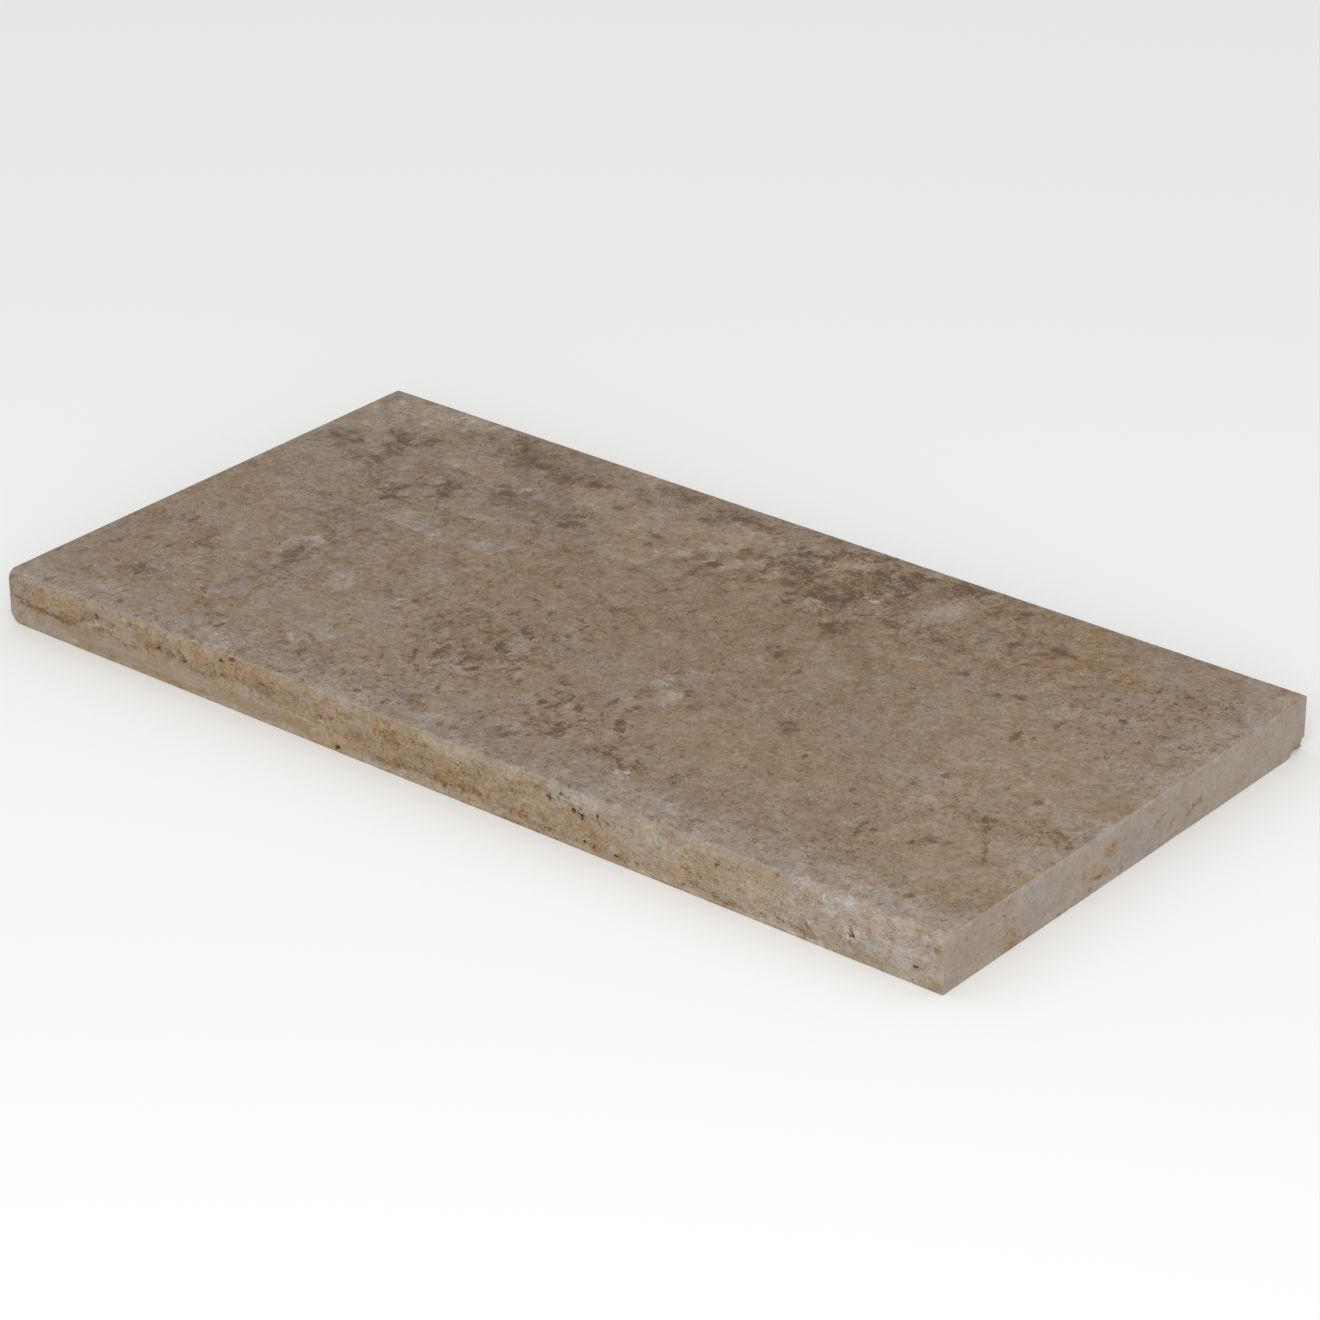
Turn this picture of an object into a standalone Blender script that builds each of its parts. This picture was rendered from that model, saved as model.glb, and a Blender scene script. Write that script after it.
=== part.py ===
# Travertine pool coping stone, one sawn piece with its top front edge eased as the nose.
# Metres. X runs along the stone, the nose faces -Y, Z is up, and the bed lies on Z = 0.

import math

import bmesh
import bpy
from mathutils import Matrix, Vector, noise

# Slab, as sawn
LENGTH = 0.610
WIDTH = 0.305
THICKNESS = 0.030

# Nose: the quarter round along the top front edge
NOSE_RADIUS = 0.0055
NOSE_STEPS = 10

# Every other edge is a saw-cut arris with only its sharpness taken off
ARRIS = 0.0004
SHARP_ANGLE = math.radians(30)

# Bottom front corner at the left end, knocked round; the wear runs out along the end
KNOCK_RADIUS = 0.0078
KNOCK_RUN = 0.045
KNOCK_CUTS = 6

# Bottom back corner at the right end, broken by two bites: a long bay in the end's bottom edge
# and a notch in the back edge above it. Each has its centre, from the sawn corner, and its
# half sizes, both out of the end (X), along the end (Y) and up it (Z).
BAY_CENTRE = (0.0030, -0.0060, -0.0015)
BAY_REACH = (0.0060, 0.0100, 0.0073)
NOTCH_CENTRE = (0.0012, 0.0008, 0.0038)
NOTCH_REACH = (0.0036, 0.0038, 0.0040)
BITE_DETAIL = 4
BITE_ROUGHNESS = 0.14
BITE_GRAIN = 2.2
BITE_OCTAVES = 4
BITE_SOFTNESS = 1.0
BITE_LACUNARITY = 2.0

# Finish
STONE_COLOUR = (0.262, 0.198, 0.141, 1.0)
STONE_ROUGHNESS = 0.62


def clear_scene():
    for item in list(bpy.data.objects):
        bpy.data.objects.remove(item)


def travertine():
    material = bpy.data.materials.new("travertine")
    material.use_nodes = True
    shader = material.node_tree.nodes["Principled BSDF"]
    shader.inputs["Base Color"].default_value = STONE_COLOUR
    shader.inputs["Roughness"].default_value = STONE_ROUGHNESS
    shader.inputs["Metallic"].default_value = 0.0
    return material


def end_profile():
    """Outline of the stone seen along X, as (y, z), from the bed's back edge round by the nose."""
    back = WIDTH / 2
    front = -WIDTH / 2
    outline = [(back, 0.0), (front, 0.0)]
    centre_y = front + NOSE_RADIUS
    centre_z = THICKNESS - NOSE_RADIUS
    for step in range(NOSE_STEPS + 1):
        turn = math.pi / 2 * step / NOSE_STEPS
        y = centre_y - NOSE_RADIUS * math.cos(turn)
        z = centre_z + NOSE_RADIUS * math.sin(turn)
        outline.append((y, z))
    outline.append((back, THICKNESS))
    return outline


def sawn_slab(mesh):
    """Extrudes the end profile from the left end to the right end."""
    left = -LENGTH / 2
    corners = [mesh.verts.new((left, y, z)) for y, z in end_profile()]
    end = mesh.faces.new(corners)
    grown = bmesh.ops.extrude_face_region(mesh, geom=[end])
    moved = [v for v in grown["geom"] if isinstance(v, bmesh.types.BMVert)]
    bmesh.ops.translate(mesh, verts=moved, vec=(LENGTH, 0.0, 0.0))
    bmesh.ops.recalc_face_normals(mesh, faces=mesh.faces)


def dull_arrises(mesh):
    """Takes the sharpness off every saw-cut edge. The nose's own facets turn too little to count."""
    sharp = [e for e in mesh.edges if e.calc_face_angle(0.0) > SHARP_ANGLE]
    bmesh.ops.bevel(
        mesh, geom=sharp, offset=ARRIS, offset_type="OFFSET", segments=1, affect="EDGES"
    )


def knock_corner(mesh):
    """Rounds the bottom front corner at the left end with flat cuts.

    In the front face the cuts touch one arc, and each is tilted so that it runs out
    along the end's bottom edge, KNOCK_RUN from the front.
    """
    arc_centre = Vector((-LENGTH / 2 + KNOCK_RADIUS, -WIDTH / 2, KNOCK_RADIUS))
    for cut in range(KNOCK_CUTS):
        turn = math.pi / 2 * (cut + 0.5) / KNOCK_CUTS
        across = Vector((-math.cos(turn), 0.0, -math.sin(turn)))
        depth = KNOCK_RADIUS * (math.cos(turn) + math.sin(turn) - 1.0)
        facing = across + Vector((0.0, -depth / KNOCK_RUN, 0.0))
        everything = mesh.verts[:] + mesh.edges[:] + mesh.faces[:]
        opened = bmesh.ops.bisect_plane(
            mesh,
            geom=everything,
            plane_co=arc_centre + across * KNOCK_RADIUS,
            plane_no=facing,
            clear_outer=True,
        )
        rim = [e for e in opened["geom_cut"] if isinstance(e, bmesh.types.BMEdge)]
        bmesh.ops.edgeloop_fill(mesh, edges=rim)
    bmesh.ops.recalc_face_normals(mesh, faces=mesh.faces)


def bite(name, centre, reach):
    """A rough pebble that stands for what broke away; it only cuts."""
    corner = Vector((LENGTH / 2, WIDTH / 2, 0.0))
    mesh = bmesh.new()
    bmesh.ops.create_icosphere(mesh, subdivisions=BITE_DETAIL, radius=1.0)
    for point in mesh.verts:
        swell = noise.fractal(point.co * BITE_GRAIN, BITE_SOFTNESS, BITE_LACUNARITY, BITE_OCTAVES)
        grown = point.co * (1.0 + BITE_ROUGHNESS * swell)
        point.co = corner + Vector(centre) + Matrix.Diagonal(reach) @ grown
    data = bpy.data.meshes.new(name)
    mesh.to_mesh(data)
    mesh.free()
    cutter = bpy.data.objects.new(name, data)
    cutter.hide_render = True
    cutter.display_type = "WIRE"
    bpy.context.scene.collection.objects.link(cutter)
    return cutter


def break_corner(stone):
    """Breaks the bottom back corner at the right end."""
    bites = [
        bite("break_bay", BAY_CENTRE, BAY_REACH),
        bite("break_notch", NOTCH_CENTRE, NOTCH_REACH),
    ]
    for cutter in bites:
        cut = stone.modifiers.new(cutter.name, "BOOLEAN")
        cut.operation = "DIFFERENCE"
        cut.solver = "EXACT"
        cut.object = cutter


def coping_stone():
    mesh = bmesh.new()
    sawn_slab(mesh)
    dull_arrises(mesh)
    knock_corner(mesh)
    data = bpy.data.meshes.new("coping_stone")
    mesh.to_mesh(data)
    mesh.free()
    data.shade_smooth()
    data.set_sharp_from_angle(angle=SHARP_ANGLE)
    data.materials.append(travertine())
    stone = bpy.data.objects.new("coping_stone", data)
    bpy.context.scene.collection.objects.link(stone)
    break_corner(stone)
    return stone


clear_scene()
coping_stone()
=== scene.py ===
import math
from itertools import product

import bpy
import numpy as np
from mathutils import Matrix, Vector


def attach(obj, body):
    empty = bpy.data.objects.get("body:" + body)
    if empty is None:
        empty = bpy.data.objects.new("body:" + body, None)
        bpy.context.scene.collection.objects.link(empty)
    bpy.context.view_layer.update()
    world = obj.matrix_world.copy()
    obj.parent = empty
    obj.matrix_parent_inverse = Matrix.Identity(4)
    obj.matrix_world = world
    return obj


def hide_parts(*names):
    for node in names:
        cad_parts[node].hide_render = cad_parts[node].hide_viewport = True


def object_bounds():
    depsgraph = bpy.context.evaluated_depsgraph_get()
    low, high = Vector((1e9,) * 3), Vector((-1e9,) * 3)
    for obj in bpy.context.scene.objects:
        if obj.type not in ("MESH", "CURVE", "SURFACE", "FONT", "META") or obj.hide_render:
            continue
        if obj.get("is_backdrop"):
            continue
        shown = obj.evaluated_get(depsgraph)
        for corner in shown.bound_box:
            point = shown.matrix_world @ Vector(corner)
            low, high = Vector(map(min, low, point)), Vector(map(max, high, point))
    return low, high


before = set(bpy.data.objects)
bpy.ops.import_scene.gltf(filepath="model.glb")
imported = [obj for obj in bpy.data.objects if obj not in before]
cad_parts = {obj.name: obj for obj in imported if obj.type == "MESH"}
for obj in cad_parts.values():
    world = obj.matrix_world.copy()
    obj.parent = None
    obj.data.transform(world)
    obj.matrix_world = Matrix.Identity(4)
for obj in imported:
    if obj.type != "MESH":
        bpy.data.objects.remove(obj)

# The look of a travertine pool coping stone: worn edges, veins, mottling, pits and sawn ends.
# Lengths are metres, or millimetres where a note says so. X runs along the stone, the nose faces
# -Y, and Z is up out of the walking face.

cadLow, cadHigh = (np.array(corner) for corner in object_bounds())
length = cadHigh[0] - cadLow[0]
mm = 0.001

# Seeds of the noises that shape the mesh and lay its pattern. One of n layers takes n seeds in a row.
seeds = {"nose": 3, "arris": 5, "ragged": 11, "bites": 40, "hollows": 61, "wander": (70, 80, 90)}


# Random values on a lattice, joined smoothly: the eight lattice values round a point are weighted by
# s = 3f^2 - 2f^3 of its place f in its cell, then divided by the spread that this gives, so that
# the result has a spread of 1 about nil.
def latticeNoise(points, size, seed):
    cells = 32                          # the lattice repeats after this many cells each way
    spread = 0.37
    lattice = np.random.default_rng(seed).uniform(-1.0, 1.0, (cells, cells, cells))
    scaled = points / np.asarray(size)
    cell = np.floor(scaled).astype(int)
    part = scaled - cell
    smooth = part * part * (3.0 - 2.0 * part)
    total = np.zeros(len(points))
    for corner in product((0, 1), repeat=3):
        place = (cell + corner) % cells
        weight = np.prod(np.where(corner, smooth, 1.0 - smooth), axis=1)
        total += weight * lattice[place[:, 0], place[:, 1], place[:, 2]]
    return total / spread


# Layers of lattice noise, each half the size of the one before and as strong, with a spread of 1.
def cloudNoise(points, size, seed, layers):
    total = np.zeros(len(points))
    for layer in range(layers):
        total += latticeNoise(points, np.asarray(size) / 2.0 ** layer, seed + layer)
    return total / math.sqrt(layers)


# Rises from 0 at low to 1 at high as 3t^2 - 2t^3, and stays flat outside.
def easeIn(value, low, high):
    t = np.clip((value - low) / (high - low), 0.0, 1.0)
    return t * t * (3.0 - 2.0 * t)


# The stone's shape
stoneShape = {
    "stepX": 1.5 * mm,                  # spacing of the mesh's lines along the stone
    "stepY": 2.45 * mm,                 # across it
    "stepZ": 0.95 * mm,                 # up it
    "noseStep": 0.72 * mm,
    "edgeLines": (0.0, 0.22 * mm, 0.5 * mm, 1.0 * mm),
    "noseReach": 6.6 * mm,              # closer lines run this far from the nose's edge
    "noseLeft": 5.1 * mm,               # radius of the nose at the left end
    "noseRight": 5.9 * mm,              # and at the right end
    "noseWobble": 0.13 * mm,
    "noseWaves": (26 * mm, 90 * mm, 90 * mm),
    "arris": 0.38 * mm,
    "arrisWobble": 0.055 * mm,
    "arrisWaves": 8.0 * mm,
    "knock": 7.8 * mm,                  # left bottom front corner, in the front face
    "knockRun": 45.0 * mm,              # its wear runs out this far along the left end
    "core": 13.5 * mm,                  # the mesh shrinks towards a box this far inside the stone
    "mostSteps": 30,                    # in this many steps at most
    "closeEnough": 1e-7,                # metres from the stone at which a point stops
    "bedRim": ((9.0, 12.0), (1.0, 8.0)),    # mm of mesh round the bed's flat middle, along X and Y
    "backRim": ((1.2, 8.0), (14.0, 1.2)),   # and round the back's, along Z and X
    "hollows": 0.09 * mm,               # the brushed face waves by about this much, inwards only
    "hollowWaves": 22 * mm,
    "markDepth": 0.12 * mm,
    "markRim": (-0.7, 0.8),             # mm inside its outline over which a mark sinks
    "pitDepth": 1.3 * mm,
    "pitRim": (-1.0, 1.0),
    "pitDarkness": (1.1, 1.6),          # a mark opens to a pit as its darkness rises through these
}

# What broke away at the right end's bottom edge: centre and half sizes, in mm from the bottom back
# corner, out of the end (X), along the end (Y) and up it (Z).
bites = {
    "bay": ((3.0, -6.0, -1.5), (6.0, 10.0, 7.3)),
    "notch": ((1.2, 0.8, 3.8), (3.6, 3.8, 4.0)),
    "nick": ((0.25, -117.0, -0.2), (0.9, 10.0, 0.85)),
}
biteRoughness = 0.045
biteGrain = 3.4 * mm
biteReach = (12 * mm, 14 * mm)          # none goes further in from the end, or up from the bed


# Distance outside two faces that meet in an edge of the given radius; a and b are the distances
# outside each face. Inside the round's square it is hypot(a + r, b + r) - r.
def roundedEdge(a, b, radius):
    outside = np.hypot(np.maximum(a + radius, 0.0), np.maximum(b + radius, 0.0))
    return np.minimum(np.maximum(a + radius, b + radius), 0.0) + outside - radius


# Distance outside a rough ellipsoid: (|p / reach| - 1 - roughness) times its least reach.
def biteDistance(points, name):
    centre, reach = (np.array(values) * mm for values in bites[name])
    corner = np.array((cadHigh[0], cadHigh[1], cadLow[2]))
    rough = cloudNoise(points, biteGrain, seeds["bites"], 3) * biteRoughness
    return (np.linalg.norm((points - corner - centre) / reach, axis=1) - 1.0 - rough) * reach.min()


# Distance outside the stone, from its six sawn planes joined by rounded edges, less the bites.
def stoneDistance(points):
    x, y, z = points.T
    left, right = cadLow[0] - x, x - cadHigh[0]
    front, back = cadLow[1] - y, y - cadHigh[1]
    under, top = cadLow[2] - z, z - cadHigh[2]
    along = np.clip((x - cadLow[0]) / length, 0.0, 1.0)
    nose = stoneShape["noseLeft"] + (stoneShape["noseRight"] - stoneShape["noseLeft"]) * along
    nose = nose + stoneShape["noseWobble"] * latticeNoise(points, stoneShape["noseWaves"], seeds["nose"])
    ragged = cloudNoise(points, stoneShape["arrisWaves"], seeds["arris"], 3)
    arris = stoneShape["arris"] + stoneShape["arrisWobble"] * ragged
    section = np.maximum(roundedEdge(front, top, nose), roundedEdge(back, top, arris))
    for face in (front, back):
        section = np.maximum(section, roundedEdge(face, under, arris))
    whole = roundedEdge(section, np.maximum(left, right), arris)
    wornAway = np.clip(1.0 - (y - cadLow[1]) / stoneShape["knockRun"], 0.0, 1.0)
    knock = np.maximum(stoneShape["knock"] * wornAway, arris)
    whole = np.maximum(whole, roundedEdge(left, under, knock))
    near = np.flatnonzero((right > -biteReach[0]) & (under > -biteReach[1]))
    for name in bites:
        whole[near] = np.maximum(whole[near], -biteDistance(points[near], name))
    return whole


# Lines from low to high, about step apart, with closer lines at each end.
def gridLines(low, high, step, lowLines, highLines):
    first, last = low + lowLines[-1], high - highLines[-1]
    count = max(1, round((last - first) / step))
    inner = np.linspace(first, last, count + 1)
    return np.concatenate([low + np.array(lowLines[:-1]), inner, high - np.array(highLines[-2::-1])])


# A box skinned with six grids that share their edges: each grid is every pair of two axes' lines, at
# the low or the high end of the third. The bed's and the back's middles are each one flat face.
def boxSkin(lines):
    decimals = 9                        # points are one where their places agree to these, in metres
    points, quads, middles, start = [], [], [], 0
    rims = {(2, False): stoneShape["bedRim"], (1, True): stoneShape["backRim"]}
    for axis, (across, up) in enumerate([(1, 2), (2, 0), (0, 1)]):
        for high in (False, True):
            u, v = np.meshgrid(lines[across], lines[up], indexing="ij")
            sheet = np.empty(u.shape + (3,))
            sheet[..., across], sheet[..., up] = u, v
            sheet[..., axis] = lines[axis][-1 if high else 0]
            index = start + np.arange(u.size).reshape(u.shape)
            ring = [index[:-1, :-1], index[1:, :-1], index[1:, 1:], index[:-1, 1:]]
            cells = np.stack(ring if high else ring[::-1], axis=-1)
            if (axis, high) in rims:
                i, j = (innerLines(lines[k], rim) for k, rim in zip((across, up), rims[axis, high]))
                flat = index[i.start:i.stop + 1, j.start:j.stop + 1]
                middle = np.concatenate([flat[:-1, 0], flat[-1, :-1], flat[:0:-1, -1], flat[0, :0:-1]])
                middles.append(middle if high else middle[::-1])
                keep = np.ones(cells.shape[:2], bool)
                keep[i, j] = False
                cells = cells[keep]
            quads.append(cells.reshape(-1, 4))
            points.append(sheet.reshape(-1, 3))
            start += u.size
    points, where = np.unique(np.round(np.concatenate(points), decimals), axis=0, return_inverse=True)
    faces = where.reshape(-1)[np.concatenate(quads)].tolist()
    faces += [where.reshape(-1)[middle].tolist() for middle in middles]
    used, where = np.unique(np.concatenate(faces), return_inverse=True)
    places = iter(where.reshape(-1).tolist())
    return points[used], [[next(places) for corner in face] for face in faces]


# The cells of a row of lines that lie at least the rim's two widths inside its ends.
def innerLines(row, rim):
    inside = np.flatnonzero((row > row[0] + rim[0] * mm) & (row < row[-1] - rim[1] * mm))
    return slice(inside[0], inside[-1])


# Walks each point that lies outside the stone towards the core until its distance is nil.
def shrinkOn(points):
    core = np.clip(points, cadLow + stoneShape["core"], cadHigh - stoneShape["core"])
    inward = core - points
    inward /= np.linalg.norm(inward, axis=1)[:, None]
    moved, loose = points.copy(), np.arange(len(points))
    for step in range(stoneShape["mostSteps"]):
        away = stoneDistance(moved[loose])
        outside = away > stoneShape["closeEnough"]
        loose = loose[outside]
        moved[loose] += inward[loose] * away[outside, None]
    return moved


# Outward direction of the surface: the slope of the distance, by differences 20 micrometres apart.
def outwardOf(points):
    reach = 0.02 * mm
    slope = np.stack([
        stoneDistance(points + reach * axis) - stoneDistance(points - reach * axis) for axis in np.eye(3)
    ], axis=1)
    return slope / np.maximum(np.linalg.norm(slope, axis=1), 1e-9)[:, None]


# The shades alone grow greyer by this much with each step of lightness, which the zones allow for.
shadeWarmth = 0.3

# Where the stone's colours lie. Places are mm in the plane of a face: x and y on the top, x and z on
# the front, y and z on the right end. A zone is (place, place, half length, half width, turn in
# degrees, lightness, warmth). Both are steps of display value from the stone's mean: lightness of the
# green, and warmth of the red less the blue. Later zones lie over earlier ones.
topZones = [
    (-30, 25, 170, 46, 0, -5, 6), (-150, 85, 160, 30, 0, -4, -2), (-262, -20, 60, 120, 0, 2, 2),
    (-205, 22, 36, 60, 0, -7, 0), (-150, 32, 42, 24, 0, -1, 1), (-110, -98, 190, 44, 0, 5, 0),
    (-205, -75, 34, 50, 0, 1, 0), (125, -60, 70, 28, 0, 1, 7), (70, 84, 96, 40, 0, -8, 9),
    (155, 105, 70, 44, 0, -4, 9), (258, -10, 76, 120, 0, 7, 3), (262, 100, 40, 56, 0, 3, 0),
    (292, 60, 15, 120, 0, 9, -4), (304, 60, 8, 120, 0, 15, -6), (270, -103, 38, 26, 0, 6, 6),
    (-272, 60, 44, 44, 0, 4, -5), (-303, 95, 8, 60, 0, 9, -10), (-284, 116, 24, 15, 5, 10, -3),
    (-262, 139, 44, 13, 12, 17, -4), (-250, 147, 12, 5, 0, 21, -6), (-301, 149, 9, 6, 30, 7, -12),
    (-284, 118, 6, 5, 0, -5, 1), (-252, 98, 19, 10, -45, -11, -1), (-258, 103, 11, 6, -40, -23, 1),
    (-242, 109, 4, 11, 10, -15, 3), (-247, 84, 6, 13, 10, -12, -3), (-227, 132, 11, 9, 0, -8, 0),
    (-284, 87, 14, 8, -10, -12, -6), (-276, 72, 8, 4, 0, -23, 1), (-293, 76, 7, 4, 0, -6, -5),
    (-260, 82, 5, 6, 0, 16, -4), (-264, 67, 6, 5, 0, -14, -3), (-197, 102, 23, 11, -8, 9, -1),
    (-211, 96, 9, 8, 0, 20, -6), (-190, 109, 9, 8, 0, 7, 0), (-176, 131, 36, 17, -10, -13, 0),
    (-184, 128, 9, 10, 0, -13, 2), (-156, 123, 22, 8, -15, -18, 0), (-193, 135, 5, 4, -30, -22, 3),
    (-160, 128, 10, 1.6, -25, -6, -4), (-131, 123, 10, 6, 5, -18, 9), (-165, 108, 15, 9, 0, -9, 3),
    (-142, 112, 10, 8, 0, -10, 3), (-116, 106, 21, 9, -15, 12, 2), (-118, 121, 7, 6, 0, 8, 1),
    (-117, 148, 10, 5, 0, 10, -3), (-101, 110, 5, 8, 0, -25, 5), (-163, 87, 16, 10, -10, -19, -1),
    (-164, 76, 6, 8, 0, -13, -4), (-157, 93, 3.4, 3.4, 0, 25, -2), (-196, 66, 16, 13, 0, -11, 0),
    (-192, 65, 9, 8, 0, -20, 1), (-204, 73, 4, 3, 0, 14, -4), (-219, 60, 7, 6, 0, 9, -7),
    (-229, 58, 6, 11, 20, -10, -5), (-210, 55, 7, 7, 0, -12, -2), (-172, 64, 8, 4, 0, 6, -5),
    (-146, 56, 22, 6, 0, 7, -2), (-129, 74, 7, 7, 0, -11, -4), (-110, 82, 14, 9, -15, -15, -6),
    (-212, 36, 9, 12, 15, -15, 1), (-202, 50, 10, 5, 20, 8, -7), (-178, 52, 9, 5, 0, 7, -7),
    (-166, 48, 6, 4, 0, 7, -7), (-188, 26, 15, 7, -10, 15, -11), (-245, 28, 7, 5, 0, 21, -10),
    (-207, 31, 5, 5, 0, 6, -7), (-165, 22, 9, 6, 0, 17, -12), (-129, 31, 13, 10, 0, 15, -11),
    (-83, 98, 27, 19, -15, 8, 4), (-62, 82, 24, 19, 25, 6, 4), (-52, 112, 24, 12, 0, 4, 8),
    (-25, 116, 17, 23, -15, 12, 2), (-20, 131, 20, 7, -10, 18, 1), (-48, 107, 12, 8, 20, 3, 12),
    (-77, 65, 8, 3.4, -25, 3, 4), (-62, 63, 9, 3.6, 0, 11, 2), (-50, 70, 8, 3.6, 50, 29, 0),
    (-42, 85, 9, 3.6, 65, 22, 0), (-37, 97, 8, 4, 60, 24, 0), (-29, 106, 8, 5, 50, 18, 0),
    (-86, 73, 4, 4, -30, 10, 3), (-71, 99, 3, 4, -30, 15, -3), (-65, 95, 7, 4.5, -30, -11, 1),
    (-61, 84, 4.5, 7, 10, -4, 2), (-27, 80, 9, 13, 0, -11, 5), (-15, 102, 9, 8, 0, -10, 4),
    (-4, 104, 4, 9, 10, 9, 1), (-10, 92, 9, 4.5, 35, 15, 1), (-20, 87, 5, 4, 0, -20, 4),
    (-26, 91, 3, 5, 0, 20, -3), (-86, 142, 15, 9, 0, -12, 0), (-54, 130, 9, 8, 0, -13, 1),
    (-36, 139, 23, 5, -6, -18, 0), (-98, 128, 11, 8, 0, -10, 1), (-101, 84, 9, 9, 0, -6, 1),
    (45, 117, 52, 34, 0, -10, 7), (24, 108, 15, 8, -42, -26, 5), (14, 124, 7, 6, 0, -20, 4),
    (22, 131, 9, 4, 0, -12, 7), (26, 140, 4, 7, 0, -26, 8), (26, 93, 7, 8, 0, -18, 5),
    (53, 96, 12, 8, -10, -24, 3), (61, 104, 7, 6, 0, -25, 3), (57, 132, 6, 6, 0, -28, 3),
    (71, 131, 9, 9, 20, -30, 1), (67, 121, 8, 4, 0, -20, 2), (48, 148, 10, 4, 0, -24, 6),
    (43, 134, 11, 9, 10, 16, -2), (33, 122, 5, 8, 0, 18, 6), (47, 117, 10, 6, 0, -6, 12),
    (14, 94, 5, 8, 0, 12, 4), (16, 80, 6, 6, 0, 1, 9), (49, 78, 8, 6, 0, 10, -5),
    (74, 103, 3, 3.4, 0, 24, -4), (66, 105, 3.4, 3, 0, 42, -1), (74, 67, 9, 4.5, 0, -30, 2),
    (60, 147, 4, 4, 0, 4, 4), (82, 147, 8, 4, 0, 11, 1), (105, 147, 13, 5, 0, -25, 3),
    (76, 140, 8, 4, 0, -25, 5), (95, 140, 12, 4, 0, -13, 3), (79, 121, 5, 8, 25, -28, 5),
    (110, 118, 17, 12, 0, 9, -2), (112, 119, 8, 4.5, 0, 18, -9), (105, 107, 9, 5, 0, 8, 1),
    (96, 88, 7, 4, 0, -25, 1), (121, 93, 15, 6, -15, -15, 2), (132, 86, 7, 5, 0, -12, 0),
    (136, 113, 8, 6, 0, -12, 2), (140, 103, 5, 5, 0, -21, 1), (147, 140, 8, 4.5, 0, -14, 10),
    (184, 141, 9, 9, 0, -5, 20), (203, 116, 30, 16, 0, -3, 13), (166, 106, 10, 8, 0, -16, 6),
    (167, 106, 4, 4, 0, 6, -4), (181, 119, 6, 10, 20, -13, 7), (131, 64, 7, 5, 0, 21, -7),
    (158, 66, 5, 4, -20, -20, 4), (184, 57, 5, 4, -30, -17, 0), (195, 62, 5, 3.6, 0, -10, 3),
    (203, 81, 9, 7, 0, 9, 0), (220, 59, 7, 6, 0, 21, -4), (149, 72, 7, 6, 0, 9, -1),
    (230, 140, 20, 10, 0, 3, -2), (249, 73, 6, 5, 0, 10, -7), (255, 65, 8, 6, 0, 13, -7),
    (297, -2, 10, 14, 0, 3, 9), (-297, 0, 9, 26, 0, -3, 8),
    (30, 55, 13, 8, 0, -1, 11), (135, 55, 17, 9, 0, 0, 10), (54, 48, 8, 5, 0, -14, 6),
    (100, 27, 15, 9, 0, 3, -2), (132, 30, 10, 7, 0, 6, -10), (-126, -18, 10, 12, -30, 8, -4),
    (-203, -24, 4, 9, 15, 30, -20), (-214, -27, 5, 6, 0, 24, -10), (-157, -51, 13, 8, -15, 12, -11),
    (-118, -50, 3, 9, 10, 29, -17), (-240, -40, 6, 7, 0, 8, -11), (-273, -62, 5, 12, 0, 6, -3),
    (-262, -22, 14, 9, 0, 5, 0), (-247, -99, 13, 7, 0, 6, -10), (-235, -85, 7, 8, 0, 13, -2),
    (-299, -102, 5, 9, 0, 7, -4), (-251, -60, 12, 18, 0, 0, 3), (-292, -85, 8, 14, 0, -6, 0),
    (-247, -114, 17, 9, -20, -9, -3), (-165, -66, 15, 6, 5, -8, 3), (-201, -43, 8, 11, 8, -7, -5),
    (-196, -64, 9, 10, 0, -13, -2), (-197, -79, 4, 6, 0, -10, -7), (-213, -85, 9, 8, 0, 9, -2),
    (-188, -88, 6, 10, 0, -9, 6), (-198, -93, 11, 10, 0, -2, -15), (-195, -112, 11, 8, 20, -7, 8),
    (-186, -106, 7, 8, 0, -4, 5), (-172, -131, 5, 9, 20, 24, -6), (-162, -140, 14, 7, 0, 24, -10),
    (-172, -111, 5, 5, 0, 14, -5), (-126, -105, 7, 14, 30, 18, -11), (-133, -115, 6, 5, 0, 30, -13),
    (-131, -126, 7, 5, 0, -12, -7), (-104, -127, 5, 9, 25, -7, -8), (-52, -62, 36, 32, -30, -6, 4),
    (-33, -54, 5, 9, 20, 11, -10), (-33, -42, 4, 4, 0, 27, -10), (-43, -47, 3, 5, 0, 9, -10),
    (-50, -90, 8, 4, 0, 6, -4), (-15, -76, 4, 4, 0, 10, -8), (-25, -104, 12, 10, 0, 11, -1),
    (-44, -131, 9, 9, 0, -17, -13), (-42, -131, 2.5, 7, 0, -30, 8), (-5, -124, 8, 5, 20, -17, 4),
    (-3, -145, 13, 6, 0, -12, -12), (9, -142, 4, 7, 30, -28, -4), (22, -134, 10, 12, -30, -34, -5),
    (30, -110, 12, 9, 0, -9, 4), (74, -136, 7, 7, -30, -10, -14), (85, -144, 18, 8, 0, 0, -17),
    (79, -124, 14, 3.5, -8, 6, -9), (94, -126, 4, 7, 20, 33, -17), (62, -136, 10, 3, 35, 2, -6),
    (47, -136, 6, 4, 0, 12, -6), (55, -43, 10, 4, 0, 7, -1), (63, -49, 4, 8, 0, 14, -6),
    (46, -33, 3, 7, -15, 18, -14), (55, -19, 7, 7, 0, 7, -4), (46, -51, 6, 7, 0, -14, 8),
    (75, -46, 5, 5, 0, -12, 8), (54, -33, 8, 4, 0, -8, 3), (127, -37, 6, 6, 0, -17, 4),
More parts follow.
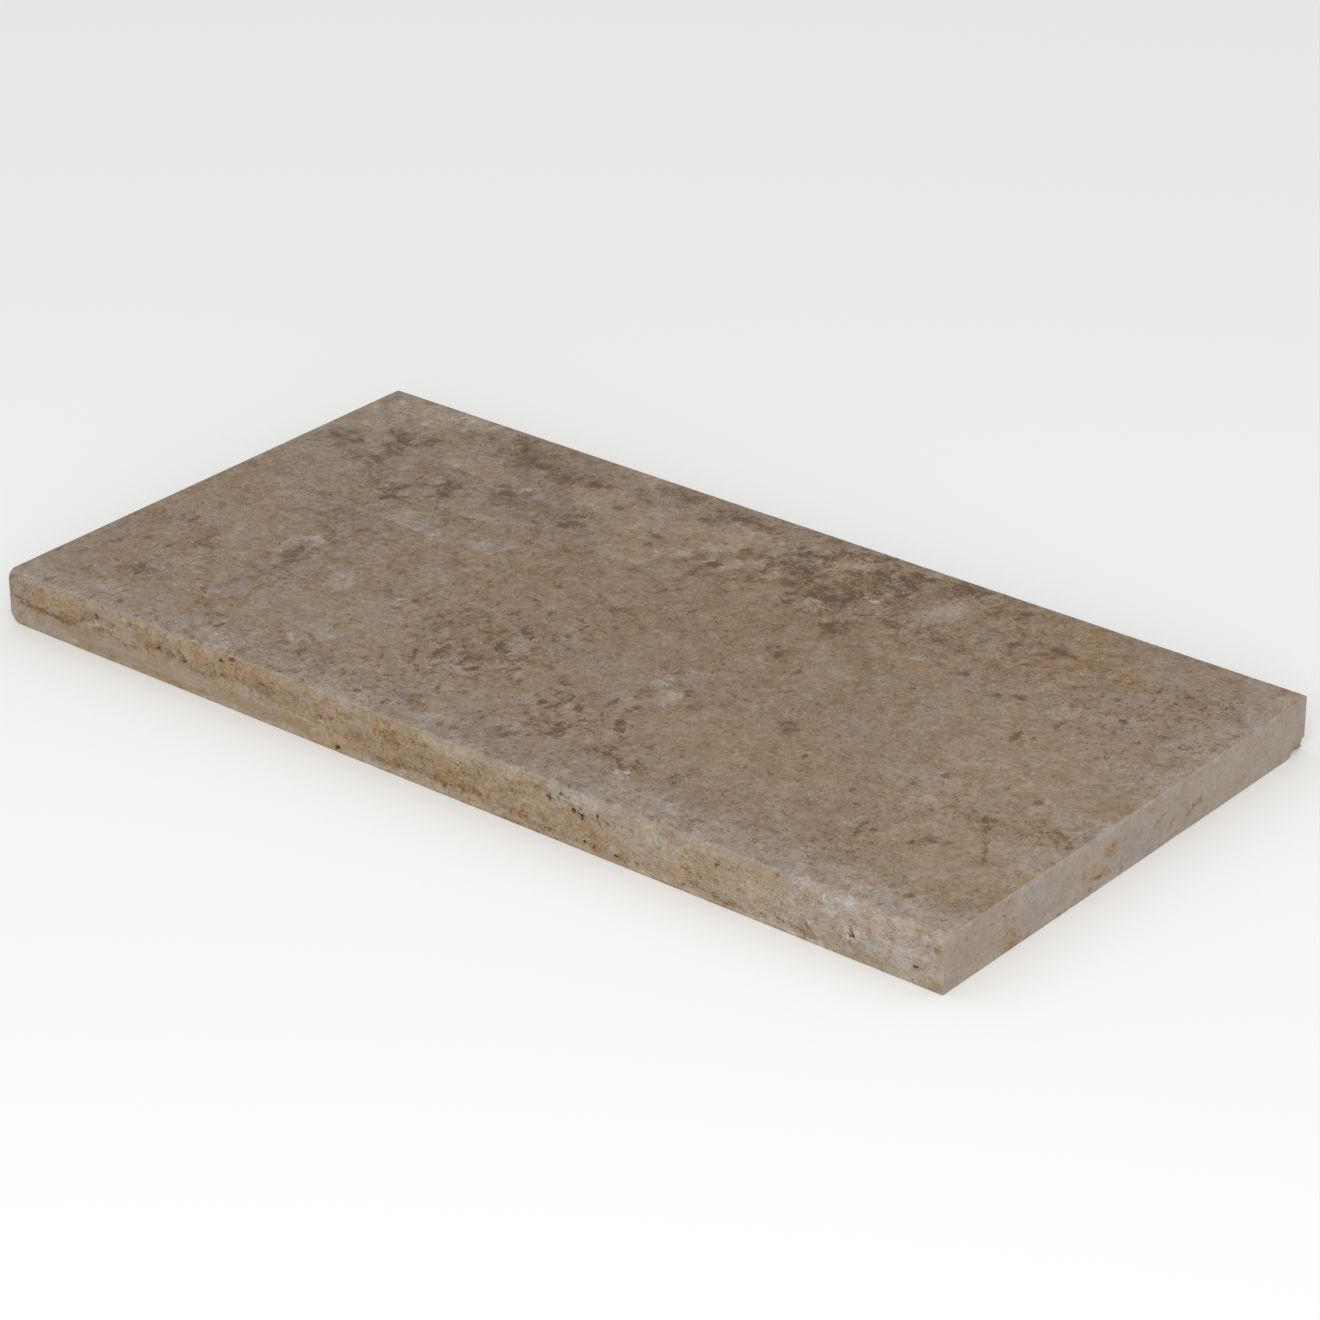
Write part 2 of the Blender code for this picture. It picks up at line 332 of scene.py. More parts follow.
    (155, -62, 5, 5, 0, -6, 4), (90, -46, 6, 6, 0, 6, -3), (118, -24, 5, 4, 0, 10, -3),
    (108, -41, 6, 8, 0, 6, -3), (122, -118, 9, 4, 0, 6, -8), (148, -105, 6, 6, 0, 5, -3),
    (252, -51, 16, 7, -12, -4, 7), (286, -41, 18, 4, -5, 2, 5), (300, -46, 6, 9, 40, 0, 0),
    (207, -36, 7, 5, 0, 10, -4), (240, -35, 9, 5, 0, 8, -3), (270, -17, 6, 4, 0, 11, -7),
    (248, -83, 8, 6, 0, -9, 7), (240, -89, 4, 6, 0, 3, 6), (208, -134, 8, 5, 0, 6, -8),
    (231, -136, 8, 5, 0, 5, -7), (176, -109, 4, 6, 0, 10, -7), (211, -90, 4, 7, 0, 6, -3),
    (-280, -131, 20, 5, 0, -12, 4), (38, -136, 26, 9, 0, -13, 2), (82, -131, 18, 5, 0, -13, 3),
    (-38, -140, 24, 6, 0, -10, -2), (-160, -130, 22, 5, 0, -8, 4),
]
frontZones = [
    (-190, 22, 122, 9, 0, 1, 3), (-190, 6, 122, 9, 0, 5, 0), (0, 15, 96, 16, 0, -3, 6),
    (104, 12, 46, 14, 0, 2, 4), (185, 15, 44, 14, 0, 6, -2), (268, 15, 50, 20, 0, 14, -14),
    # Painted light: the band (0, 1.5, 330, 2.6, ...) along the front's bottom edge is lightened to offset the
    # floor's shade on it.
    (40, 27, 110, 3, 0, 5, -2), (0, 1.5, 330, 2.6, 0, 13, -3), (-303, 15, 5, 20, 0, 5, -8),
    (-296, 23, 12, 6, 0, 1, -4), (-271, 19, 17, 6.5, 0, -7, 12), (-262, 20, 7, 4.5, 0, -4, 18),
    (-283, 19, 4, 4, 0, -4, 16), (-270, 16, 12, 2, 0, -12, 12), (-271, 9.6, 10, 2.4, 0, -1, 14),
    (-284, 5, 30, 5.4, 0, 9, -12), (-286, 7.2, 18, .8, 0, 2, -6), (-278, 3.6, 22, .8, 3, 9, -11),
    (-258, 4, 6, 3, 0, 20, -15), (-238, 6, 26, 5, 0, 5, -5), (-240, 18.6, 6, 3, 0, 27, -15),
    (-225, 24, 14, 4, 0, 2, -2), (-212, 19, 6, 2, 15, 8, -7), (-184, 18, 14, 3, 0, -2, -1),
    (-177, 18.5, 4, 3, 0, -14, 2), (-168, 25, 18, 4, 0, -2, 10), (-146, 20, 8, 3, 0, -2, 12),
    (-190, 10.5, 60, .9, 0, 8, -3), (-180, 8, 50, .8, 0, 1, 2), (-196, 5.4, 60, .9, 0, 8, -3),
    (-185, 2.4, 26, 1.2, 0, -6, 9), (-124, 20, 15, 5, 0, -4, 3), (-120, 13.5, 16, 1.6, 0, 7, -3),
    (-118, 11.2, 18, 1, 0, 12, -6), (-128, 6, 26, 4, 0, 3, 1), (-128, 26, 24, 3.4, 0, 0, 7),
    (-79, 6.6, 22, 6, 0, 7, 8), (-93, 12.6, 8, 1.2, 10, 20, -2), (-81, 12.6, 7, 1.2, -22, 20, -2),
    (-70, 9.6, 7, 1.2, -32, 20, -2), (-59, 6.2, 7, 1.2, -20, 19, -2), (-82, 18, 16, 3.6, 0, -6, 5),
    (-40, 15, 34, 7, 0, -6, 6), (-36, 7, 26, 1.4, -2, 0, 5), (-8, 7.4, 16, 1.4, 0, -13, 6),
    (-44, 3.6, 16, 1.4, -3, 0, 5), (-18, 3.6, 14, 1.3, 0, 16, 0), (20, 17, 34, 7, 0, -5, 6),
    (21, 22, 12, 2.4, 0, -15, 11), (26, 8.4, 18, 1.4, -3, -12, 9), (48, 6.6, 12, 1.2, -3, -9, 6),
    (16, 4.4, 10, 1.5, 0, 9, 2), (50, 3.4, 26, 1.2, 0, 9, -1), (66, 27, 6, 2.4, 0, -6, 0),
    (88, 24, 20, 5, 0, 13, -11), (125, 21, 30, 8, 0, 6, -5), (91, 6.9, 4.4, 1.6, 0, 40, -22),
    (110, 7, 4.4, 2.8, 0, 20, -13), (153, 8, 4.5, 4.4, 0, 4, 12), (153, 12.6, 4.6, 1.5, 0, -10, 22),
    (162, 18, 12, 7, 0, 2, 5), (162, 6.4, 6, 1, 25, -3, -6), (205, 5.2, 20, .8, 0, -7, -4),
    (226, 8, 8, .9, -28, -9, -4), (232, 3, 8, .8, -16, 6, -10), (225, 1.8, 12, 1.1, 0, 24, -14),
    (180, 1.6, 28, 1.1, 0, 17, -7), (252, 14, 6, 4, 0, 28, -14), (292, 28.4, 8, 1.4, 0, 8, -6),
    (-77, 24.6, 2.4, 3.4, 8, -18, 24), (-72, 17.6, 2.4, 1.4, 10, 3, 14), (-54, 11.4, 2, 2.8, 10, -10, 28),
    (-38.5, 22, 2.4, 3, 0, -4, 27), (-34, 26.4, 2.8, 1.8, 0, -22, 27), (-33, 9.6, 3, 2.6, 0, 0, 18),
    (-15.5, 25, 2, 3.4, 5, -17, 30), (-7, 23, 2.6, 2, 0, -15, 26), (0, 9.6, 3.4, 2, 0, -9, 22),
    (5, 9, 2, 2.8, 0, -7, 20), (-78, 16.6, 4.4, 1.2, 10, -12, 20), (23, 25, 3, 2, 0, -8, 16),
    (17, 20, 3, 2, 0, -8, 15), (29, 8.6, 3, 1.8, 0, -6, 18), (-146, 21, 5, 1.8, 0, -3, 18),
    (-63, 24, 3, 2.4, 0, -2, 14), (-48, 16, 3, 2, 0, 4, 6), (45, 19, 4, 2, -15, -13, 12),
    (-25, 14, 5, 2.4, 0, -10, 6), (12, 13, 6, 2.4, 0, -8, 6), (60, 15, 8, 3, 0, -4, 6),
    (22, 24, 24, 2.4, 0, 8, -4), (140, 22.4, 22, 3.4, 0, 13, -6), (78, 6, 20, 2.4, 0, 10, -2),
    (202, 4.6, 22, 3, 0, 15, -9), (262, 6, 22, 2.2, 0, 5, -5), (-282, 3, 24, 2.2, 0, 12, -9),
]
endZones = [
    (95, 15, 76, 22, 0, 5, 0), (-30, 15, 70, 22, 0, 3, 0), (0, 2, 160, 4, 0, 7, -1),
    (-122, 18, 26, 6, -15, -4, 7), (-125, 9, 3, 4, 0, -3, 14), (-94, 16, 4, 2.4, 0, -7, 14),
    (-100, 5, 6, 4.5, 0, -8, 17), (-91, 2, 5, 2.5, 0, -16, 17), (-104, 26, 6, 3, 0, -3, 7),
    (-85, 5, 5, 2, -30, 7, -11), (-76, 18, 16, 9, 0, 2, -7), (-33, 10.5, 10, 4, -8, -12, 24),
    (-37, 11, 6, 3, 0, -6, 11), (-19, 17.5, 5, 3.6, 0, -10, 20), (-39, 20, 2.5, 4, 0, -3, 8),
    (-8, 5, 3, 4, 0, -5, -11), (-5, 18, 4, 3, 0, -4, -7), (6, 12, 14, 10, 0, 2, -8),
    (5, 20, 4, 2.5, 0, -1, 7), (26, 15, 4, 3, 0, -7, 4), (43, 27, 3.6, 3, 0, -7, 13),
    (48, 10, 3, 2.6, 0, -12, 11), (57, 11.5, 5, 2, 0, -8, 11), (62, 5, 3, 4, 0, -4, 10),
    (72, 25, 1.5, 1.2, 0, -4, 14), (92, 7.5, 9, 2, 0, -4, 11), (119, 23, 3.5, 1.5, 0, -3, 13),
    (117, 19, 4, 3, 0, 4, -7), (30, 9, 2, 2, 0, -4, 10), (0, 29, 150, 2, 0, 9, -4),
    (37, 2, 3, 1.4, 0, -7, 8), (147, 3.5, 6, 2.4, -15, -14, 8), (-147, 4, 6, 3, 0, -3, -4),
]

# The walking face along the nose is paler and greyer, more so to the right: partly scuffed wear, partly
# painted sheen where light glances off it towards the nose.
scuffAndSheen = {
    "rim": (119.0, 137.0),              # mm from the middle towards the nose: where it starts and is full
    "ragged": 6.0,                      # mm by which it starts sooner or later
    "light": (9.0, 14.0),               # at the left end and at the right end
    "warm": -9.0,
    "cover": 0.5,                       # share of the zones under it that it hides
    "noseHighlight": 6.0,                       # painted highlight: the middle of the nose's round, which faces up and out, is painted paler still
}

# A mark is (place, place, half length, half width, turn in degrees, darkness), in mm as above. From
# a darkness of about 1.1 it is an open pit.
topMarks = [
    (-273, 126, 7, 1.5, -35, .35), (-260, 109, 2.5, 2, 0, .7), (-255, 102, 3.5, 3, 0, .7),
    (-247, 91, 2, 5, 20, .4), (-243, 108, 1.5, 6, 0, .4), (-288, 86, 3, 2, 0, .5),
    (-280, 83, 3, 2, 0, .45), (-274, 87, 1.6, 1.6, 0, .2), (-247, 73, 5, 1.1, -45, .2),
    (-193, 135, 4, 2.5, 0, .45), (-183, 128, 4, 2.5, 0, .45), (-180, 118, 4, 3, 0, .4),
    (-170, 125, 5, 3, 0, .45), (-165, 148, 5, 2, 0, .45), (-155, 145, 4, 2, 0, .4),
    (-150, 118, 5, 3, 0, .4), (-212, 94, 1.5, 1.5, 0, .2), (-188, 110, 2, 2, 0, .35),
    (-202, 91, 6, 1.5, -20, .35), (-163, 85, 4, 3, 0, .5), (-170, 92, 3, 3, 0, .5),
    (-191, 63, 3, 2.5, 0, .55), (-213, 55, 1.3, 2.4, 0, 1.1), (-215, 51, 1.2, 4, -30, .5),
    (-205, 45, 5, 1.3, 30, .4), (-212, 36, 1.5, 7, -15, .4), (-160, 46, 4, 1.5, 30, .5),
    (-150, 49, 1.5, 1.5, 0, .6), (-297, 25, 3, 3, 0, .4), (-240, 23, 4, 3, 0, .35),
    (-134, 124, 3, 2, 0, .55), (-82, 141, 5, 2.5, 0, .35), (-34, 140, 13, 1.6, -8, .5),
    (-58, 126, 3.4, 2.4, 0, .25), (-103, 108, 2.5, 2, 0, .55), (-65, 93, 3, 2.5, 0, .6),
    (-61, 83, 1.6, 1.1, 0, .35), (-50, 101, 2, 1.5, 0, .45), (-88, 95, 2, 1.5, 0, .4),
    (-114, 87, 3, 2, 0, .55), (-113, 73, 4, 2.5, 0, .95), (-131, 79, 2.5, 2, 0, .5),
    (-122, 92, 2, 2, 0, .45), (-107, 80, 4, 2, 0, .5), (-122, 60, 2.5, 2, 0, .45),
    (-91, 50, 3, 2, 0, .5), (-78, 57, 2, 2, 0, .5), (-49, 54, 3, 2, 0, .6), (-20, 43, 1.8, 3, 0, .65),
    (-57, 25, 2, 1.6, 0, .5), (-19, 87, 2.5, 2, 0, .7), (-13, 100, 1.5, 1.5, 0, .5),
    (-16, 112, 1.6, 1.1, 0, .3), (-32, 88, 4, 3, 0, .4), (-22, 70, 1.1, 8, 0, .4),
    (5, 130, 2, 2, 0, .6), (5, 105, 1.5, 3, 0, .5), (5, 95, 2, 2, 0, .6), (12, 124, 2.4, 2, 0, .75),
    (19, 128, 2, 1.6, 0, .8), (26, 139, 1.6, 3, 0, .8), (26, 110, 4, 1.6, -30, .9),
    (54, 133, 3, 1.6, -40, .95), (71, 133, 3, 1.4, 50, .95), (82, 120, 1.5, 2.5, 0, .85),
    (69, 122, 2, 2, 0, .7), (62, 126, 2, 2, 0, .7), (33, 101, 2.4, 1.2, -20, .8), (10, 110, 2, 2, 0, .65),
    (20, 104, 3, 1.2, -20, .7), (59, 104, 4, 1.4, -32, .9), (44, 99, 2, 1.2, 0, .6),
    (56, 92, 2.4, 1.2, 0, .7),
    (62, 95, 2, 2, 0, .65), (25, 95, 2, 2, 0, .65), (96, 88, 2, 1.5, 0, .6), (34, 84, 2.5, 1.5, 0, .7),
    (36, 75, 4, 1.5, -15, .7), (50, 70, 2.5, 1.5, 0, .5), (72, 68, 3, 1.2, -60, .6),
    (105, 145, 3, 2.5, 0, 1.0), (98, 142, 2.2, 1.8, 0, .9), (113, 148, 2.5, 1.5, 0, .7),
    (82, 141, 2, 1.5, 0, .7), (72, 143, 2, 1.5, 0, .7), (48, 147, 2.5, 1.5, 0, .7),
    (143, 133, 1.6, 1.4, 0, 1.1), (145, 140, 2, 1.5, 0, .6), (160, 65, 1.6, 1.5, 0, .8),
    (125, 88, 2.5, 1.5, 0, .45), (72, 24, 1.1, 2.8, 0, .9), (64, 27, 1.5, 1.5, 0, .6),
    (146, 36, 1.4, .8, -30, .4), (157, 31, 1.5, 1.2, 0, .5), (8, 36, 1.1, 1.5, 0, .5),
    (205, 129, 2, 1.5, 0, .5), (183, 115, 3, 1.5, 0, .5), (177, 109, 2, 1.5, 0, .5),
    (165, 105, 2, 2, 0, .5), (185, 57, 1.6, 1.5, 0, .8), (174, 50, 1.5, 1.5, 0, .5),
    (196, 62, 1.6, 1.5, 0, .75), (198, 56, 1.5, 1.2, 0, .5), (217, 26, 2, 4, 10, .85),
    (226, 49, 1.5, 3.5, -20, .6), (225, 30, 1.8, 1.6, 0, .8), (234, 91, 2, 1.8, 0, .9),
    (240, 110, 1.5, 1.2, 0, .5), (260, 114, 1.1, 2.4, -40, .7), (259, 104, 1.2, 1.2, 0, .6),
    (262, 97, 1.2, 1.2, 0, .6), (249, 99.5, 1, 1, 0, .8), (245, 110, .8, .8, 0, .6),
    (268, 92, 1.1, 2, 0, .6), (281, 86, 1.1, 1.5, 0, .5), (248.5, 74, 1.4, 1.4, 0, 1.8),
    (250.5, 71, 1.2, 2.6, 25, 1.0), (293, 109, 1.5, 2, 0, .5), (283, 119, 1.5, 1.5, 0, .5),
    (267, 143, 1.6, 1, 0, .4), (253, 59, 1.2, 1.5, 0, .5), (268, 58, 1.5, 1.8, 0, .9),
    (275, 57, 1.2, 1.5, 0, .6), (285, 64, 1.1, 2, 0, .5), (294, 50, 1.1, 2.5, 0, .5),
    (241, 30, 1.5, 2, 0, .4), (-273, -46, 2, 3.5, 0, .75), (-281, -43, 1.3, 3, 0, .5),
    (-283, -54, 2, 1.5, 0, .5), (-292, -50, 2, 2, 0, .4), (-286, -88, 1.6, 1.6, 0, .35),
    (-288, -93, 1.2, 1.6, 0, .25), (-276, -78, 2, 2, 0, .55), (-260, -79, 1.5, 4, 0, .5),
    (-251, -58, 1.3, 6, 0, .45), (-250, -68, 2.5, 2, 0, .55), (-243, -66, 1.6, 2.6, 0, .3),
    (-235, -92, 1.5, 1.2, 0, .5), (-241, -94, 1.3, 1.5, 0, .8), (-248, -105, 4, 1.5, 20, .5),
    (-250, -111, 2, 3, 40, .6), (-237, -104, 1.3, 1.6, 0, .6), (-235, -109, 2.5, 1.5, 0, .6),
    (-274, -24, 6, 1.6, -56, .5), (-283, -30, 2.5, 1.2, -45, .45), (-232, -141.5, 1.4, 1.2, 0, .9),
    (-248, -147, 1.1, 2, 0, .5), (-280, -148, 1.2, 3, 0, .5), (-291, -112, 2, 4, 0, .4),
    (-203, -37, 2.6, 3.4, 0, .6), (-203, -45, 5, 6, 0, .55), (-197, -50, 2, 2.6, -40, .6),
    (-213, -54, 1.3, 2, 0, .35), (-208, -56, 1.6, 1.3, 0, .5), (-208, -84, 1.5, 2, 0, .5),
    (-204, -85, 2, 1.5, 0, .55), (-207, -105, 7, 1.1, -51, .6), (-194, -116, 3.6, 1, -10, .35),
    (-181, -121, 4, 1.3, 5, .65), (-186, -123, 1.5, 2, 0, .5), (-172.5, -129, 1.4, 2.6, -15, 1.1),
    (-178, -129, .9, 1.6, 0, .45), (-159, -41, 2, 1.5, 0, .5), (-141, -24, 1.3, 1.8, 0, .6),
    (-143, -40, 2.5, 1.2, -45, .5), (-130, -46, 3, 1.5, -20, .5), (-112, -45, 2, 2, 0, .75),
    (-116, -57, 2.5, 1.5, 0, .9), (-91, -49.5, 1.3, 1.5, 0, .6), (-94, -57, 1.1, 2.2, 0, .7),
    (-86, -58, 1.5, 1.3, 0, .6), (-71, -36, 2.2, 1.6, 0, .8), (-66, -38, 1.2, 1.2, 0, .6),
    (-84, -36, 1.5, 1.5, 0, .5), (-63, -25, 1.2, 2, 0, .6), (-48, -12, 1.4, 3, 0, .85),
    (-24, -15, 1.1, 3, 0, .8), (-24, -27, 2.5, 1.6, -45, .5), (-47, -33, 1.1, 2.5, 0, .7),
    (-43, -38, 1.4, 1.8, 0, .9), (-38, -40, 1.5, 2, 0, .9), (-52, -42, 1.1, 1.5, 0, .6),
    (-44, -57, 6, 1.8, -69, 1.0), (-37, -61, 2.8, 1.4, -60, .85), (-57, -68, 1.6, 1.8, 0, .9),
    (-48, -77, 2, 2, 0, .95), (-47, -85, 2.2, 1.3, 0, .85), (-38, -84, 2, 2.6, 0, 1.0),
    (-70, -72, 1.5, 2.4, 0, .8), (-65, -73, 1.4, 1.6, 0, .8), (-63, -76, 3, 1.1, -60, .8),
    (-64, -83, 3.4, 1.1, -70, .9), (-72, -91, 4.5, 1.2, -50, .95), (-84, -103, 3.6, 1.6, -65, 1.0),
    (-89, -110, 2, 1.5, 0, .8), (-56, -94, 1.3, 1.6, 0, .4), (-61, -101, 2.4, 1.1, -50, .7),
    (-25, -69, 1.6, 1.2, -50, .8), (-21, -71, 1.6, 1.1, 0, .8), (-16, -81, 1.4, 1.6, 0, .85),
    (-13, -59, 1.2, 1.1, 0, .6), (-27, -47, 1.8, 1.1, -60, .6), (-15, -38, 1.2, 1.2, 0, .6),
    (-12, -26, 1.1, 1.6, 0, .5), (-38, -111, 2.4, 1.1, -50, .6), (-25, -107, 1.1, 2, 0, .5),
    (-91, -95, 1.4, 1.1, 0, .6), (-68, -97, 1.1, 2.2, 0, .6), (-62, -121, 1.4, 1.1, -45, .6),
    (-65, -116, 1.1, 1.5, 0, .5), (-62, -130, 1.1, 2.5, -40, .5), (-65, -134, 2.4, 1.1, -40, .6),
    (-48, -129, 1.3, 1.1, 0, .6), (-49, -138, 2.2, 1.2, -45, .6), (-68, -139, 1, 1, 0, .5),
    (-31, -137, 1.4, 1.2, 0, .7), (-11, -139, 1.6, 2, 30, .9), (-4, -138, 2, 1.1, 10, .7),
    (1, -121, 1.1, 1.3, 0, .7), (1, -129, 1.1, 1.6, 0, .6), (-106, -143, 1.6, 1.5, 0, .8),
    (-120, -146, 1.6, 1.3, 0, .5), (-143, -143, 2, 1.4, 0, .5), (-135, -124, 1.8, 1.5, 0, .6),
    (-120, -122, 4, 1.1, -35, .6), (-120, -127, 1.1, 2.2, 10, .6), (-111, -131, 2.4, 1.1, -15, .6),
    (-125, -110, 6, 1.1, -40, .5), (6, -67, 1.4, 1.5, 0, .95), (10, -68.5, 1.5, 1.5, 0, .95),
    (7, -76, 1.1, 1.1, 0, .7), (13.5, -78, 1.4, 1.2, -30, .8), (46, -23, 1.6, 2.6, 0, .95),
    (64, -37, 2.6, 1.3, -55, .75), (52, -39, 2, 1.1, 0, .6), (84, -26, 1.1, 1.1, 0, .5),
    (122, -31, 1.5, 1.3, 0, .7), (125, -38, 1.1, .9, 40, .5), (128, -40, 1.1, 1.1, 0, .6),
    (150, -28, 1.1, 1.1, 0, .6), (150, -54, 1.2, 2, 0, .8), (99, -56, 1, 1.1, 0, .6),
    (40.5, -69, 1.3, 3, 0, .85), (53.5, -65, 1.5, 1.9, 30, 1.0), (53, -71, 1.4, 1.5, 0, .9),
    (22, -84, 1.2, 4.5, 0, .85), (20, -92, 1.4, 3, -10, .9), (13, -91, 1.3, 3.2, -5, .9),
    (32, -86, 3, 1.3, -60, .9), (8, -87, .8, .8, 0, .4), (49, -87, 1.8, 1.1, -40, .7),
    (45, -83, 1.1, 1.6, 30, .7), (42, -93, 2.3, 1.3, 50, .85), (57.5, -84, 3.2, 3.4, 20, 1.05),
    (62, -89, 4.5, 2.4, -50, 1.05), (68, -95, 2, 1.1, -45, .7), (75, -98, 1.5, 1, 0, .7),
    (85, -94, 2.2, 1.8, -30, .7), (104, -92, 1.1, 1.1, 0, .6), (39, -107, 1.6, 6, -8, .95),
    (35, -104, 2, 1.3, -30, .85), (37, -114, 3, 1.3, 40, .85), (27, -110, 1.3, 1.1, 0, .7),
    (22, -106, 1.1, 1, 0, .6), (14, -103, 1.4, 1.6, 0, .6), (43, -113, 1, 1, 0, .7),
    (65, -113, 3, .8, 30, .7), (74, -112.5, 4, 1.1, -15, .8), (73, -105, 2, 1.1, 0, .7),
    (82, -112, 1.2, 1.7, 0, .8), (90, -109, 1.4, .7, 0, .6), (93, -115, 3, .8, -25, .65),
    (88, -119, 2.6, 1.3, -30, .9), (95, -122, 1.1, 1.1, 0, .8), (75, -128, 1, 1, 0, .8),
    (84, -128, 1, 1, 0, .7), (117, -114, 1.6, 1.6, 0, .85), (113, -108.5, 1, 1.1, 0, .7),
    (109, -131, 1.1, 1.1, 0, .6), (109, -143, 2, 1.5, 0, .4), (130, -148, 2, 1.5, 0, .45),
    (153, -136, 1, 1.6, 0, .5), (148, -78, 3, 1.2, -35, .6), (162, -75, 1.4, 1.2, 0, .6),
    (79.5, -148, .8, 1.8, 30, .5), (31, -122, 1.4, 2, 0, .8), (265, -22, 2.2, 2.2, 0, .85),
    (243, -19.5, 1.1, 1.4, 0, .7), (214, -27, 1.7, 2, 0, .8), (227, -29, 1, 1.2, 0, .7),
    (204, -15, 1.1, 2.4, -20, .5), (207, -43, 2.6, 1.5, 0, .85), (190, -47, 1.5, 1.8, 30, .7),
    (202, -63, 1.6, 1.1, 0, .7), (188, -67, 1.4, 1.4, 0, .9), (199, -77, 1.2, 1.2, 0, .6),
    (225, -65, 1.1, 2.4, -15, .55), (224, -76, 1.1, 1.3, 0, .6), (231, -42, 3.4, 1, -38, .65),
    (244, -46, 2.6, 1.1, -45, .6), (254.5, -52, 2.4, 1.3, 25, .85), (258, -48.5, 2.6, 1, 10, .7),
    (260, -57, 1.5, 3, 10, .7), (266, -50, 1.5, 1.2, 0, .6), (281, -43.5, 2.8, 1.5, -25, 1.0),
    (275, -41, 2.4, 1, -15, .6), (286, -41, 1.4, 2, 0, .65), (294, -42, 4, 1.2, -25, .8),
    (300, -47, 3.6, 1.3, -55, .85), (303, -52, 1.2, .9, -40, .5), (272, -75, 8, 1, -59, .75),
    (212.5, -91, 1.2, 3.2, 8, .95), (215.5, -98, 1.2, 4, 0, .9), (220, -93, 2, 1.8, -30, .75),
    (240, -90, 1.2, 1.8, 0, .6), (248, -83, 1.6, 1.2, 0, .5), (243, -80, 1.4, 1, -45, .6),
    (176, -104, 1.1, 1.3, 0, .7), (171, -107, 1, 1.1, 0, .7), (204, -108, 1, 1.6, 0, .6),
    (209.5, -112, 1.3, .7, 20, .55), (219.5, -109, 1.1, 1.1, 0, .6), (224, -115, 1.1, 1.3, 0, .6),
    (269, -131, 1.6, 2.6, 0, .75), (258, -129, 1.1, 1.6, 0, .5), (217.5, -136, 1, 1.4, 0, .5),
    (214, -131, 2.4, 1, -25, .7), (291, -108, 2, 1.2, -20, .4), (294, -30, .8, 3.4, 0, .25),
    (-65, 15, 1.4, 1.9, 0, .6), (-25, 11, 1.5, 2.6, 0, .6), (-14, 13.5, 1.6, 1.6, 0, .9),
    (-12, -4, 1.8, 1.5, 0, .95), (-30, -9, 3.4, 1.4, 0, .8), (-64, -5, 1.4, 1.1, 0, .55),
    (92, 15, 1, 1.3, 0, 1.1),
    (-47, -46, 1.1, 4, 0, .55), (-43, -75, 1.6, 2, 0, .7), (-54, -76, 1.4, 1.4, 0, .6),
    (-76, -73, 1.2, 2, 0, .6), (-52, -60, 1.2, 1.4, 0, .5), (-60, -48, 1.2, 2, 0, .5),
    (-26, -61, 1.1, 1.1, 0, .6), (-53, -103, 1.4, 1.4, 0, .5), (-98, -70, 1.2, 2, 0, .5),
    (-82, -66, 1.2, 1.8, 0, .5), (132, 20, 2.4, 1.4, 0, .5), (92, 12, 1.1, 2, 0, .3),
    (127, -37, 2, 1.6, 0, .35), (68, 31, 1.3, 1.6, 0, .6), (70, -2, 1.6, 2, 0, .5),
]
